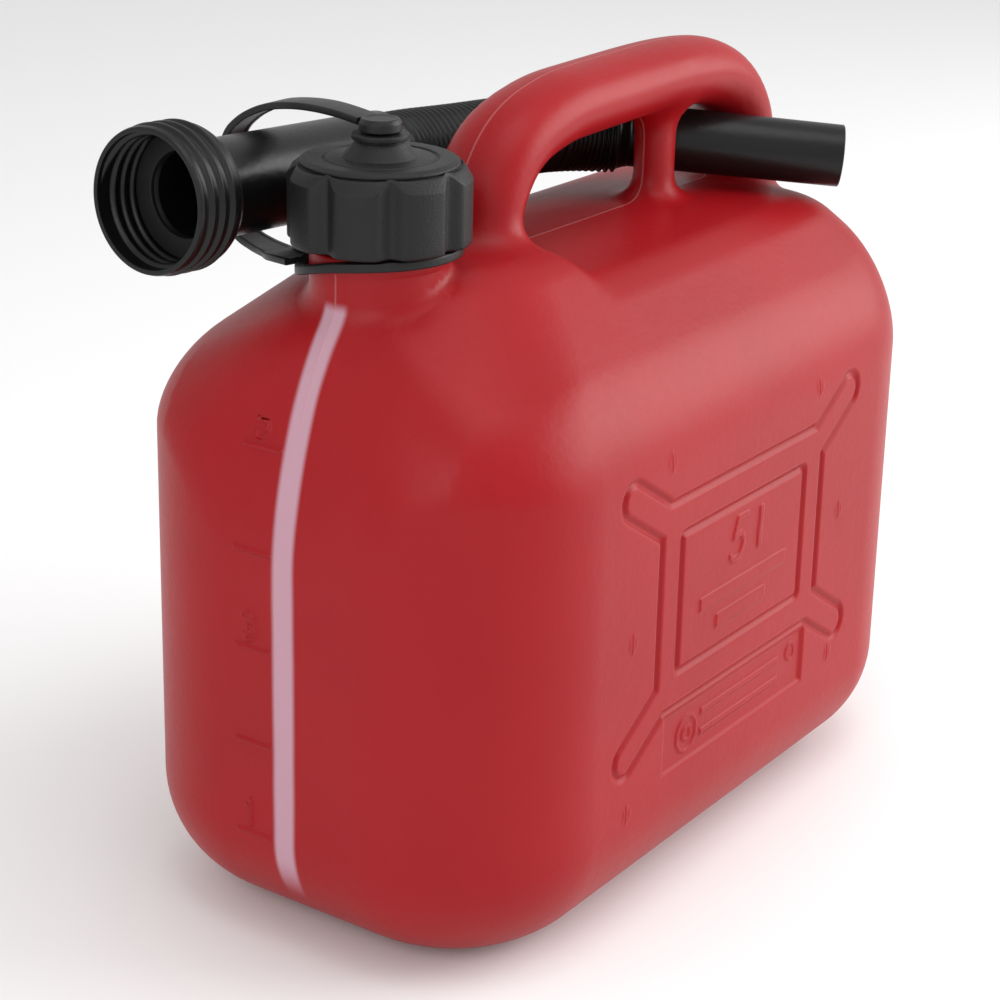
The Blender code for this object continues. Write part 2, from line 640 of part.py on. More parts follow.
def make_nozzle():
    length = NOZZLE_IN + NOZZLE_OUT
    rings = [(0, NOZZLE_BORE_R), (0, NOZZLE_R), (length - 1 * MM, NOZZLE_TIP_R),
             (length, NOZZLE_TIP_R - 0.6 * MM), (length, NOZZLE_BORE_R)]
    nozzle = add_object("spout_nozzle", turned(rings, closed=True, sides=36), BLACK_PLASTIC)
    place_on(nozzle, NOZZLE_CROSS - NOZZLE_AXIS * NOZZLE_IN, NOZZLE_AXIS)


clear_scene()
make_can()
make_cap()
make_tether()
make_spout_mouth()
make_hose()
make_nozzle()
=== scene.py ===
# %% [markdown]
# # A petrol can with its spout stored through the handle
#
# This lesson dresses a packed mechanical model of a five-litre petrol can. The mechanical
# model gives the frame: which pieces there are, where they sit and how they move. Here every
# piece gets the surface that a person would see and touch: the soft blow-moulded skin of the
# can with its pressed-in ribs and raised marks, the lobed cap, the bellows of the hose.
#
# Everything is in metres and +Z is up. The can's long way is X, with the neck at -X. The
# spout is stored on the +Y side.

# %%
import math

import bmesh
import bpy
import numpy as np
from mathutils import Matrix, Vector


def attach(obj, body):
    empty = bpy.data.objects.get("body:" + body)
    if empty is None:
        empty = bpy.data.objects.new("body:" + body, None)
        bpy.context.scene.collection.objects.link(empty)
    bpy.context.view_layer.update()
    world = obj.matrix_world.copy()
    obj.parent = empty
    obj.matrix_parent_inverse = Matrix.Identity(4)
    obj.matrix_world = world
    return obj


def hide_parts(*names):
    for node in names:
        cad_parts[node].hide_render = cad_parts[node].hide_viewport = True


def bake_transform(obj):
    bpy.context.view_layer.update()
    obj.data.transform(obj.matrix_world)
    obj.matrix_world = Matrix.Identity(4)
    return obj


MM = 0.001
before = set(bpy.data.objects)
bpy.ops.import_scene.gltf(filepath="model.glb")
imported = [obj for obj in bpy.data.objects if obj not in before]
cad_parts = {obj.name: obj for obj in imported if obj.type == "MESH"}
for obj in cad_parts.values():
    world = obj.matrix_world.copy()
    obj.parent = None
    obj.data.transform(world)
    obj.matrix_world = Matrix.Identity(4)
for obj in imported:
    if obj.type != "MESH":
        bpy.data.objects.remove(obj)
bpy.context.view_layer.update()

# %% [markdown]
# ## The can's proportions
#
# The can is a rounded box whose shoulders slope in towards a narrow top. These are the sizes
# of the moulding, and every later step reads them from here.

# %%
CAN_LENGTH = 259 * MM
CAN_WIDTH = 147 * MM
BASE_EDGE_R = 36 * MM
FRONT_CORNER_R = 50 * MM
REAR_CORNER_R = 48 * MM
SIDE_WALL_TOP = 160 * MM         # where the upright side meets the sloping shoulder
SIDE_SLOPE = math.radians(40.4)
SIDE_BLEND_R = 15 * MM
FRONT_SLOPE = math.radians(49)
FRONT_SLOPE_X = -113.5 * MM      # one point of the front shoulder's slope
FRONT_SLOPE_Z = 186.5 * MM
FRONT_BLEND_R = 34 * MM
FRONT_BLEND_START_X = -50 * MM   # the shoulder's bend grows rounder from here to the front
REAR_SHOULDER_OUT = 10 * MM      # the rear shoulder starts this much higher up its slope
RIDGE_R = 43 * MM                # between the side shoulders and the front one
TOP_HEIGHT = 190.5 * MM
TOP_FALL = 0.05                  # fall of the top towards the sides
TOP_EDGE_R = 5 * MM
NECK_PLATFORM = 196.5 * MM       # the higher shoulder round the neck and front leg
PLATFORM_END_X = -34 * MM
PLATFORM_BLEND = 8 * MM

HANDLE_HALF_WIDTH = 15 * MM
HANDLE_HALF_DEPTH = 11 * MM
HANDLE_TOP = 241 * MM
HANDLE_BLEND = 10 * MM
# the handle's middle line from foot to foot: x, and drop below its top line
HANDLE_LINE = [(-44, 58), (-43, 37), (-38, 20), (-27, 8), (-8, 2), (15, 0.5), (64, 0),
               (90, 4), (105, 16), (109.5, 32), (110, 58)]
STRUT_X = 59 * MM
STRUT_HALF_LENGTH = 7 * MM
STRUT_HALF_WIDTH = 6.5 * MM
STRUT_BLEND = 9 * MM

NECK_X = -86.3 * MM
NECK_BASE_R = 19.6 * MM
NECK_BASE_TOP = 203 * MM
NECK_ROOT = 160 * MM
NECK_R = 17.4 * MM
NECK_BORE_R = 15.2 * MM
NECK_TOP = 222 * MM
NECK_BLEND = 3.5 * MM

SLOPE_STEP = 0.2 * MM            # how far apart the distance is read to find its slope
SKIN_GRID = 2.7 * MM             # spacing of the can's surface points
print("can", CAN_LENGTH, "x", CAN_WIDTH, "m, handle top at", HANDLE_TOP, "m")

# %% [markdown]
# ## Small tools
#
# `sheet` lays a grid of points out as a mesh: a tube, a lathe-turned ring or a strap is a
# grid rolled up and welded along its seam. `fillet` rounds the corners of a section, because
# a moulded edge is never sharp. `smooth_curve` runs a smooth line through a few points.


# %%
def smooth_curve(points, step):
    """Points about one step apart on a smooth curve through the given ones."""
    points = np.array(points, float)
    ends = np.vstack([2 * points[0] - points[1], points, 2 * points[-1] - points[-2]])
    out = []
    for a, b, c, d in zip(ends, ends[1:], ends[2:], ends[3:]):
        count = max(1, round(float(np.linalg.norm(c - b)) / step))
        for t in np.arange(count) / count:
            out.append(0.5 * (2 * b + (c - a) * t + (2 * a - 5 * b + 4 * c - d) * t * t
                              + (3 * b - a - 3 * c + d) * t ** 3))
    out.append(points[-1])
    return np.array(out)


def directions(path):
    tangent = np.gradient(path, axis=0)
    return tangent / np.linalg.norm(tangent, axis=1, keepdims=True)


def fillet(corners, closed=False, steps=4):
    """A section's corners (a, b, radius) with each one rounded to its own radius."""
    out = []
    count = len(corners)
    for i, (a, b, radius) in enumerate(corners):
        here = np.array((a, b))
        if radius == 0 or (not closed and i in (0, count - 1)):
            out.append(here)
            continue
        before = np.array(corners[i - 1][:2]) - here
        after = np.array(corners[(i + 1) % count][:2]) - here
        long_before, long_after = np.linalg.norm(before), np.linalg.norm(after)
        before, after = before / long_before, after / long_after
        half_angle = math.acos(np.clip(before @ after, -1, 1)) / 2
        reach = min(radius / math.tan(half_angle), 0.48 * long_before, 0.48 * long_after)
        for t in np.linspace(0, 1, steps + 1):
            out.append(here + before * reach * (1 - t) ** 2 + after * reach * t ** 2)
    return np.array(out)


def sheet(points, roll=True, close=False):
    """A mesh from a grid of points [row, column]; `roll` joins the columns into a tube and
    `close` joins the last row to the first."""
    if roll:
        points = np.concatenate([points, points[:, :1]], axis=1)
    if close:
        points = np.concatenate([points, points[:1]], axis=0)
    rows, columns = points.shape[:2]
    bm = bmesh.new()
    bmesh.ops.create_grid(bm, x_segments=columns - 1, y_segments=rows - 1, size=1.0)
    verts = list(bm.verts)
    flat = np.array([v.co for v in verts])
    order = np.lexsort((flat[:, 0].round(5), flat[:, 1].round(5)))
    for index, co in zip(order, points.reshape(-1, 3)):
        verts[index].co = co
    bmesh.ops.remove_doubles(bm, verts=bm.verts, dist=1e-6)
    if not close:
        rims = [e for e in bm.edges if e.is_boundary]
        bmesh.ops.holes_fill(bm, edges=rims, sides=0)
    bmesh.ops.recalc_face_normals(bm, faces=bm.faces)
    return bm


def turned(section, sides=96):
    """A section of (height, radius) turned about +Z, as grid points."""
    angles = np.arange(sides) * 2 * math.pi / sides
    heights, radii = np.asarray(section, float).T
    points = np.empty((len(heights), sides, 3))
    points[:, :, 0] = radii[:, None] * np.cos(angles)
    points[:, :, 1] = radii[:, None] * np.sin(angles)
    points[:, :, 2] = heights[:, None]
    return points


def frame_to(direction):
    """Rotation that takes +Z to a direction."""
    return np.array(Vector(direction).to_track_quat("Z", "Y").to_matrix())


def heading(yaw, drop):
    return Vector((math.cos(yaw) * math.cos(drop), math.sin(yaw) * math.cos(drop),
                   -math.sin(drop)))


def placed(points, origin, direction=None):
    turn = np.eye(3) if direction is None else frame_to(direction)
    return points @ turn.T + np.array(origin)


def finished(name, bm, sharp_angle=40):
    mesh = bpy.data.meshes.new(name)
    bm.to_mesh(mesh)
    bm.free()
    mesh.shade_smooth()
    mesh.set_sharp_from_angle(angle=math.radians(sharp_angle))
    obj = bpy.data.objects.new(name, mesh)
    bpy.context.collection.objects.link(obj)
    print(name, len(mesh.polygons), "faces")
    return obj


# %% [markdown]
# ## The can's shape as a distance
#
# A blow-moulded can has no seams between its walls, its shoulders and its handle: one skin
# flows over all of them. The easiest exact description of such a skin is a function that
# gives, for any point in space, about how far outside it the point is. Corners are rounded
# with `fillet_max`, and the handle flows into the top with `blend_min`.


# %%
def fillet_max(a, b, r):
    """Corner of two shapes, rounded with radius r."""
    both = (a > -r) & (b > -r)
    return np.where(both, np.hypot(np.maximum(a + r, 0), np.maximum(b + r, 0)) - r,
                    np.maximum(a, b))


def blend_min(a, b, r):
    """Two shapes joined, with a fillet about as wide as r."""
    h = np.clip(0.5 + 0.5 * (b - a) / r, 0, 1)
    return b + (a - b) * h - r * h * (1 - h)


HANDLE_PATH = smooth_curve([(x * MM, HANDLE_TOP - HANDLE_HALF_DEPTH - drop * MM)
                            for x, drop in HANDLE_LINE], 1.5 * MM)


def handle_distance(x, z):
    """Distance to the handle's middle line, worked out only where the handle is near."""
    reach = np.full(len(x), 1.0)
    near = z > NECK_ROOT
    nx, nz = x[near], z[near]
    best = np.full(len(nx), 1.0)
    for (ax, az), (bx, bz) in zip(HANDLE_PATH, HANDLE_PATH[1:]):
        t = ((nx - ax) * (bx - ax) + (nz - az) * (bz - az)) / ((bx - ax) ** 2 + (bz - az) ** 2)
        t = np.clip(t, 0, 1)
        best = np.minimum(best, np.hypot(nx - ax - t * (bx - ax), nz - az - t * (bz - az)))
    reach[near] = best
    return reach


def smooth_can(p):
    """Distance to the can's skin without its small relief: negative inside."""
    x, y, z = p[:, 0], np.abs(p[:, 1]), p[:, 2]
    half = CAN_LENGTH / 2
    side = y - CAN_WIDTH / 2
    plan = np.where(x < 0, fillet_max(-x - half, side, FRONT_CORNER_R),
                    fillet_max(x - half, side, REAR_CORNER_R))
    walls = fillet_max(plan, -z, BASE_EDGE_R)
    shoulder_rear = fillet_max(x - half - REAR_SHOULDER_OUT, side, REAR_CORNER_R)
    round_side = np.where(x < 0, side, shoulder_rear)
    side_slope = (math.sin(SIDE_SLOPE) * round_side
                  + math.cos(SIDE_SLOPE) * (z - SIDE_WALL_TOP))
    front_slope = (-math.sin(FRONT_SLOPE) * (x - FRONT_SLOPE_X)
                   + math.cos(FRONT_SLOPE) * (z - FRONT_SLOPE_Z))
    slopes = fillet_max(side_slope, front_slope, RIDGE_R)
    forward = np.clip((FRONT_BLEND_START_X - x) / (half / 2), 0, 1)
    central = 1 - np.clip(y / FRONT_CORNER_R, 0, 1) ** 2
    shoulder_r = SIDE_BLEND_R + (FRONT_BLEND_R - SIDE_BLEND_R) * forward * central
    walls = fillet_max(walls, slopes, shoulder_r)
    top = z - TOP_HEIGHT + TOP_FALL * y
    platform = fillet_max(z - NECK_PLATFORM, x - PLATFORM_END_X, PLATFORM_BLEND)
    body = fillet_max(walls, blend_min(top, platform, PLATFORM_BLEND), TOP_EDGE_R)
    neck = np.maximum(np.hypot(x - NECK_X, y) - NECK_BASE_R, z - NECK_BASE_TOP)
    body = blend_min(body, np.maximum(neck, NECK_ROOT - z), NECK_BLEND)
    reach = handle_distance(x, z)
    handle = np.hypot(reach / HANDLE_HALF_DEPTH, y / HANDLE_HALF_WIDTH) - 1
    body = blend_min(body, handle * HANDLE_HALF_DEPTH, HANDLE_BLEND)
    strut = np.hypot((x - STRUT_X) / STRUT_HALF_LENGTH, y / STRUT_HALF_WIDTH) - 1
    strut = np.maximum(strut * STRUT_HALF_WIDTH, z - HANDLE_TOP + HANDLE_HALF_DEPTH)
    strut = np.maximum(strut, TOP_HEIGHT - 2 * HANDLE_HALF_DEPTH - z)
    return blend_min(body, strut, STRUT_BLEND)


print("handle line has", len(HANDLE_PATH), "points")

# %% [markdown]
# ## The relief
#
# Both sides carry a pressed-in cross frame: a rectangle with four arms, drawn by a shallow
# groove, round a plain panel. Under it is a sunk strip for data. The front carries litre
# marks beside the clear level strip. Each is drawn flat, as a distance in a plane, and then
# becomes a small push in or out of the skin.

# %%
FRAME_X, FRAME_Z = -1 * MM, 98 * MM
BAND_HALF = (48 * MM, 33 * MM)
PANEL_HALF = (36.7 * MM, 21.8 * MM)
ARM_FROM = (38 * MM, 23.4 * MM)
ARM_TO = (64.2 * MM, 39.9 * MM)
ARM_R = 5.3 * MM
GROOVE_HALF = 1.9 * MM
GROOVE_DEPTH = 1.15 * MM
DATA_LOW, DATA_HIGH = (-44 * MM, 43.5 * MM), (43 * MM, 67 * MM)
DATA_DEPTH = 1.0 * MM
MARK_RISE = 0.5 * MM
LITRE_FIRST_Z = 35 * MM
LITRE_STEP = 29.24 * MM
FRONT_MARKS_TOP = 170 * MM
FRONT_MARK_RISE = 0.8 * MM
WALL_SHARE = 0.47                # relief lies beyond this share of the length or width
# raised plain bars in place of words: middle, height, half length, half height
PLAIN_BARS = [(0.5 * MM, -4.4 * MM, 26 * MM, 2.2 * MM),
              (-0.5 * MM, -12.6 * MM, 15 * MM, 2.2 * MM),
              (4 * MM, -40.9 * MM, 24 * MM, 1.1 * MM),
              (4 * MM, -47.7 * MM, 24 * MM, 1.1 * MM)]
# small ribbed ovals scattered round the cross frame, from its middle
OVALS = [(-44 * MM, 46 * MM), (44 * MM, 46 * MM), (-62 * MM, -4 * MM), (62 * MM, 0),
         (-62 * MM, -58 * MM), (61 * MM, -50 * MM)]
OVAL_HALF = (1.9, 2.9)           # mm across and up
OVAL_RIB_PITCH = 1.9 * MM
OVAL_RISE = 0.35 * MM


def rounded_box(u, v, half, radius=2 * MM):
    """Distance in a plane to a rectangle with rounded corners, centred on the origin."""
    a = np.abs(u) - half[0] + radius
    b = np.abs(v) - half[1] + radius
    return np.hypot(np.maximum(a, 0), np.maximum(b, 0)) + np.minimum(np.maximum(a, b), 0) - radius


def stroke(u, v, points):
    """Distance in a plane to a line through the points."""
    best = np.full(u.shape, 1.0)
    for (ax, ay), (bx, by) in zip(points, points[1:]):
        t = ((u - ax) * (bx - ax) + (v - ay) * (by - ay)) / ((bx - ax) ** 2 + (by - ay) ** 2)
        t = np.clip(t, 0, 1)
        best = np.minimum(best, np.hypot(u - ax - t * (bx - ax), v - ay - t * (by - ay)))
    return best


def step_down(distance, width):
    """1 well inside a line at distance 0, falling smoothly to 0 over the width."""
    t = np.clip(0.5 - distance / width, 0, 1)
    return t * t * (3 - 2 * t)


def arc(cx, cy, rx, ry, start, end, count=9):
    angles = np.radians(np.linspace(start, end, count))
    return [(cx + rx * math.cos(a), cy + ry * math.sin(a)) for a in angles]


# numerals drawn in a box one high and about 0.6 wide
NUMERALS = {
    "1": [[(0.1, 0.8), (0.3, 1.0), (0.3, 0.0)]],
    "3": [arc(0.27, 0.74, 0.25, 0.26, 150, -90), arc(0.27, 0.26, 0.29, 0.26, 90, -150)],
    "5": [[(0.55, 1.0), (0.14, 1.0), (0.07, 0.56)] + arc(0.27, 0.31, 0.29, 0.31, 128, -145)],
}


def numeral(u, v, digit, left, foot, height, lean=0.0):
    """Distance to a numeral whose foot's left end is at (left, foot)."""
    best = np.full(u.shape, 1.0)
    for line in NUMERALS[digit]:
        line = [(left + (x + lean * y) * height, foot + y * height) for x, y in line]
        best = np.minimum(best, stroke(u, v, line))
    return best


def side_relief(x, z, mirror):
    """Outward push of a side wall. `mirror` turns the panel's marks to read from outside."""
    u, v = (x - FRAME_X) * mirror, z - FRAME_Z
    arms = stroke(np.abs(u), np.abs(v), [ARM_FROM, ARM_TO]) - ARM_R
    band = np.minimum(rounded_box(u, v, BAND_HALF, 0.5 * MM), arms)
    lines = np.minimum(np.abs(band), np.abs(rounded_box(u, v, PANEL_HALF)))
    push = -GROOVE_DEPTH * step_down(lines - GROOVE_HALF / 2, GROOVE_HALF)

    centre = [(a + b) / 2 for a, b in zip(DATA_LOW, DATA_HIGH)]
    half = [(b - a) / 2 for a, b in zip(DATA_LOW, DATA_HIGH)]
    data = rounded_box(u + FRAME_X - centre[0], z - centre[1], half, 0.5 * MM)
    data = np.maximum(data, GROOVE_HALF / 2 - band)
    push = np.minimum(push, -DATA_DEPTH * step_down(data + 1.1 * MM, 2.2 * MM))

    marks = numeral(u, v, "5", -9 * MM, 4 * MM, 13 * MM, lean=0.22) - 1.0 * MM
    marks = np.minimum(marks, stroke(u, v, [(9 * MM, 5 * MM), (9.8 * MM, 16 * MM)]) - 1.3 * MM)
    for middle, height, half_length, half_height in PLAIN_BARS:
        bar = rounded_box(u - middle, v - height, (half_length, half_height), 0.8 * MM)
        marks = np.minimum(marks, bar)
    ring = np.hypot((u + 28 * MM), v - DATA_LOW[1] + FRAME_Z - 9.5 * MM)
    marks = np.minimum(marks, np.abs(ring - 5.6 * MM) - 0.6 * MM)
    marks = np.minimum(marks, np.abs(ring - 2.2 * MM) - 0.5 * MM)
    ring = np.hypot((u - 36 * MM), v - DATA_LOW[1] + FRAME_Z - 13.5 * MM)
    marks = np.minimum(marks, np.abs(ring - 2.6 * MM) - 0.4 * MM)
    push = push + MARK_RISE * step_down(marks, 0.8 * MM)

    for du, dv in OVALS:
        oval = np.hypot((u - du) / OVAL_HALF[0], (v - dv) / OVAL_HALF[1]) - MM
        ribs = 0.5 + 0.5 * np.cos(2 * math.pi * (u - du) / OVAL_RIB_PITCH)
        push = push + OVAL_RISE * step_down(oval, 0.6 * MM) * ribs
    return push


def front_relief(y, z):
    """Outward push of the front wall: the litre marks and their numbers."""
    u, v = -y, z
    marks = np.full(u.shape, 1.0)
    for litre in range(1, 6):
        height = LITRE_FIRST_Z + LITRE_STEP * (litre - 1)
        marks = np.minimum(marks, stroke(u, v, [(-17 * MM, height), (-4.8 * MM, height)]))
        if litre % 2:
            mark = numeral(u, v, str(litre), -14.5 * MM, height + 2.4 * MM, 8 * MM)
            marks = np.minimum(marks, mark)
    return FRONT_MARK_RISE * step_down(marks - 0.5 * MM, 0.7 * MM)


def relief(p):
    x, y, z = p.T
    push = np.zeros(len(p))
    low = z < SIDE_WALL_TOP
    for sign in (-1, 1):
        on_side = low & (y * sign > WALL_SHARE * CAN_WIDTH)
        push[on_side] = side_relief(x[on_side], z[on_side], -sign)
    on_front = (z < FRONT_MARKS_TOP) & (x < -WALL_SHARE * CAN_LENGTH)
    push[on_front] = front_relief(y[on_front], z[on_front])
    return push


def can_field(p):
    return smooth_can(p) - relief(p)


print("litre marks at", [round(LITRE_FIRST_Z + LITRE_STEP * i, 4) for i in range(5)])

# %% [markdown]
# ## The can's skin
#
# A few overlapping blocks give the can's rough shape. A voxel remesh joins them into one
# even skin, and each point then slides along the distance's slope until it lies on the can.
# Where there is relief the skin is divided finely, and settled once more. The exact slope
# also gives the shading normals, so highlights run cleanly over the whole skin.


# %%
def field_gradient(field, p, step):
    grad = np.empty_like(p)
    for axis in range(3):
        offset = np.zeros(3)
        offset[axis] = step
        grad[:, axis] = (field(p + offset) - field(p - offset)) / (2 * step)
    return grad


def settle(bm, rounds, smoothing=0):
    """Slide the mesh's points onto the can without its relief."""
    for _ in range(smoothing):
        bmesh.ops.smooth_vert(bm, verts=bm.verts, factor=0.5, use_axis_x=True,
                              use_axis_y=True, use_axis_z=True)
    p = np.array([v.co for v in bm.verts])
    for _ in range(rounds):
        grad = field_gradient(smooth_can, p, SLOPE_STEP)
        size = np.maximum((grad ** 2).sum(axis=1, keepdims=True), 0.2)
        p = p - np.clip(smooth_can(p)[:, None], -4 * MM, 4 * MM) * grad / size
    for vert, co in zip(bm.verts, p):
        vert.co = co


def block(bm, low, high, edge_r=0.0):
    made = bmesh.ops.create_cube(bm, size=1.0)["verts"]
    low, high = Vector(low), Vector(high)
    bmesh.ops.scale(bm, vec=high - low, verts=made)
    bmesh.ops.translate(bm, vec=(low + high) / 2, verts=made)
    if edge_r:
        upright = [e for e in {e for v in made for e in v.link_edges}
                   if abs(e.verts[0].co.z - e.verts[1].co.z) > 1e-6]
        bmesh.ops.bevel(bm, geom=upright, offset=edge_r, affect="EDGES", segments=6,
                        profile=0.5, material=-1)


def rough_can():
    bm = bmesh.new()
    half = CAN_LENGTH / 2
    wide = CAN_WIDTH / 2
    block(bm, (-half, -wide, 0), (half, wide, SIDE_WALL_TOP), REAR_CORNER_R)
    steps = 4
    for i in range(1, steps + 1):
        top = SIDE_WALL_TOP + (TOP_HEIGHT - SIDE_WALL_TOP) * i / steps
        inset = (top - SIDE_WALL_TOP) / math.tan(SIDE_SLOPE)
        nose = (top - SIDE_WALL_TOP) / math.tan(FRONT_SLOPE)
        block(bm, (-half + nose, -wide + inset, BASE_EDGE_R), (half - nose, wide - inset, top),
              HANDLE_HALF_DEPTH)
    platform_half = wide - (NECK_PLATFORM - SIDE_WALL_TOP) / math.tan(SIDE_SLOPE)
    block(bm, (NECK_X, -platform_half, BASE_EDGE_R),
          (PLATFORM_END_X, platform_half, NECK_PLATFORM))
    neck = bmesh.ops.create_cone(bm, cap_ends=True, segments=48, radius1=NECK_BASE_R,
                                 radius2=NECK_BASE_R, depth=2 * BASE_EDGE_R)["verts"]
    bmesh.ops.translate(bm, vec=(NECK_X, 0, NECK_BASE_TOP - BASE_EDGE_R), verts=neck)
    path = [Vector((x, 0, z)) for x, z in HANDLE_PATH[::4]]
    for a, b in zip(path, path[1:]):
        rod = bmesh.ops.create_cone(bm, cap_ends=True, segments=24, radius1=HANDLE_HALF_DEPTH,
                                    radius2=HANDLE_HALF_DEPTH, depth=(b - a).length * 1.6)
        bmesh.ops.scale(bm, vec=(1, HANDLE_HALF_WIDTH / HANDLE_HALF_DEPTH, 1),
                        verts=rod["verts"])
        tilt = (b - a).to_track_quat("Z", "Y").to_matrix()
        bmesh.ops.rotate(bm, cent=(0, 0, 0), matrix=tilt, verts=rod["verts"])
        bmesh.ops.translate(bm, vec=(a + b) / 2, verts=rod["verts"])
    strut = bmesh.ops.create_cone(bm, cap_ends=True, segments=24, radius1=STRUT_HALF_LENGTH,
                                  radius2=STRUT_HALF_LENGTH,
                                  depth=HANDLE_TOP - TOP_HEIGHT + HANDLE_HALF_DEPTH)["verts"]
    bmesh.ops.translate(bm, vec=(STRUT_X, 0, (HANDLE_TOP + TOP_HEIGHT) / 2 - HANDLE_HALF_DEPTH),
                        verts=strut)
    return bm


rough = finished("rough_can", rough_can())
remesh = rough.modifiers.new("join", "REMESH")
remesh.mode = "VOXEL"
remesh.voxel_size = SKIN_GRID
skin = bmesh.new()
skin.from_object(rough, bpy.context.evaluated_depsgraph_get())
bpy.data.objects.remove(rough, do_unlink=True)
for _ in range(3):
    settle(skin, rounds=2, smoothing=2)
settle(skin, rounds=3)
print("even skin:", len(skin.verts), "points")


# %%
def has_relief(p, reach):
    """Points with relief under them or within a short reach of them."""
    found = np.abs(relief(p)) > 1e-6
    for dx, dy, dz in ((1, 0, 0), (-1, 0, 0), (0, 1, 0), (0, -1, 0), (0, 0, 1), (0, 0, -1),
                       (0.7, 0, 0.7), (-0.7, 0, 0.7), (0.7, 0, -0.7), (-0.7, 0, -0.7)):
        found |= np.abs(relief(p + np.array((dx, dy, dz)) * reach)) > 1e-6
    return found


def divide_near_relief(bm, reach):
    p = np.array([v.co for v in bm.verts])
    marked = has_relief(p, reach)
    bm.verts.ensure_lookup_table()
    faces = [f for f in bm.faces if any(marked[v.index] for v in f.verts)]
    edges = {e for f in faces for e in f.edges}
    bmesh.ops.subdivide_edges(bm, edges=list(edges), cuts=1, use_grid_fill=True)
    bm.verts.index_update()


skin.verts.index_update()
divide_near_relief(skin, 2.2 * MM)
divide_near_relief(skin, 1.0 * MM)
settle(skin, rounds=2)
bore = [v for v in skin.verts
        if math.hypot(v.co.x - NECK_X, v.co.y) < NECK_BORE_R
        and v.co.z > NECK_BASE_TOP - NECK_BLEND]
bmesh.ops.delete(skin, geom=bore, context="VERTS")

points = np.array([v.co for v in skin.verts])
slope = field_gradient(smooth_can, points, SLOPE_STEP)
slope /= np.linalg.norm(slope, axis=1, keepdims=True)
points = points + slope * relief(points)[:, None]
for vert, co in zip(skin.verts, points):
    vert.co = co
bmesh.ops.recalc_face_normals(skin, faces=skin.faces)
can = finished("can_skin", skin, sharp_angle=180)
fine_slope = field_gradient(can_field, points, 0.15 * MM)
fine_slope /= np.linalg.norm(fine_slope, axis=1, keepdims=True)
can.data.normals_split_custom_set_from_vertices([tuple(n) for n in fine_slope])
print("can:", len(can.data.vertices), "points")

# %% [markdown]
# ## The neck
#
# The cap hides the threaded neck until it is unscrewed. The neck is turned from a section
# with its bore, and the thread is a small rounded rib wound one and a half times round it.

# %%
THREAD_RISE = 1.5 * MM
THREAD_LEAD = 5 * MM
THREAD_START = 207.5 * MM
THREAD_TURNS = 1.5

neck_section = fillet([(NECK_BASE_TOP - 4 * MM, NECK_BASE_R + 0.05 * MM, 0),
                       (NECK_BASE_TOP + 0.4 * MM, NECK_BASE_R + 0.05 * MM, 0.8 * MM),
                       (NECK_BASE_TOP + 0.5 * MM, NECK_R, 0.8 * MM),
                       (NECK_TOP, NECK_R, 0.5 * MM), (NECK_TOP, NECK_BORE_R, 0.5 * MM),
                       (NECK_BASE_TOP - 9 * MM, NECK_BORE_R, 0),
                       (NECK_BASE_TOP - 9 * MM, NECK_BORE_R + 1.5 * MM, 0)], closed=True)
neck = finished("neck", sheet(placed(turned(neck_section), (NECK_X, 0, 0)), close=True))


def wound_rib(radius, start, lead, turns, rise, half_width, inward=False, per_turn=72):
    """Grid points of a rib wound round +Z, fading out at both ends."""
    across = np.linspace(-1, 1, 9)
    bulge = np.cos(across * math.pi / 2) ** 0.8
    count = round(per_turn * turns) + 1
    rows = []
    for i in range(count):
        turn = turns * i / (count - 1)
        fade = min(1, 10 * min(turn, turns - turn) + 0.05)
        height = bulge * rise * fade
        r = radius - 0.3 * MM + height if not inward else radius + 0.3 * MM - height
        z = start + lead * turn + across * half_width
        angle = 2 * math.pi * turn
        back = np.full(9, radius - 0.4 * MM if not inward else radius + 0.4 * MM)
        r, z = np.r_[r, back[::-1]], np.r_[z, z[::-1]]
        rows.append(np.c_[r * math.cos(angle), r * math.sin(angle), z])
    return np.array(rows)


rib = wound_rib(NECK_R, THREAD_START, THREAD_LEAD, THREAD_TURNS, THREAD_RISE + 0.3 * MM,
                1.6 * MM)
thread = finished("neck_thread", sheet(placed(rib, (NECK_X, 0, 0))))

# %% [markdown]
# ## The screw cap
#
# The cap's skirt has eight broad lobes with a narrow flute between them. Above the skirt a
# shoulder slopes in to a round disc. The skirt meets the shoulder lower on the lobes than in
# the flutes, which gives the cap its scalloped upper edge. On the disc are a shallow ring
# groove and a cone that carries the tether's button.

# %%
CAP_LOBES = 8
FLUTE_HALF = math.radians(11.5)
FLUTE_DEPTH = 2.3 * MM
CAP_R = 25.9 * MM
CAP_BORE_R = 19.5 * MM
CAP_FOOT = 205 * MM
CAP_ROOF = 224.0 * MM            # underside of the cap's top
CAP_TOP = 228.4 * MM
CAP_DISC_R = 21.9 * MM
SHOULDER_LOW = 223.5 * MM        # height of the shoulder above a lobe
SHOULDER_RISE = 1.2              # rise of the shoulder per unit inwards
CAP_SIDES = 384


def flute(angle):
    """How deep the skirt's flutes are at an angle, 0 to 1."""
    pitch = 2 * math.pi / CAP_LOBES
    away = np.abs((angle + pitch / 2) % pitch - pitch / 2)
    return np.where(away < FLUTE_HALF, np.cos(away / FLUTE_HALF * math.pi / 2) ** 2, 0)


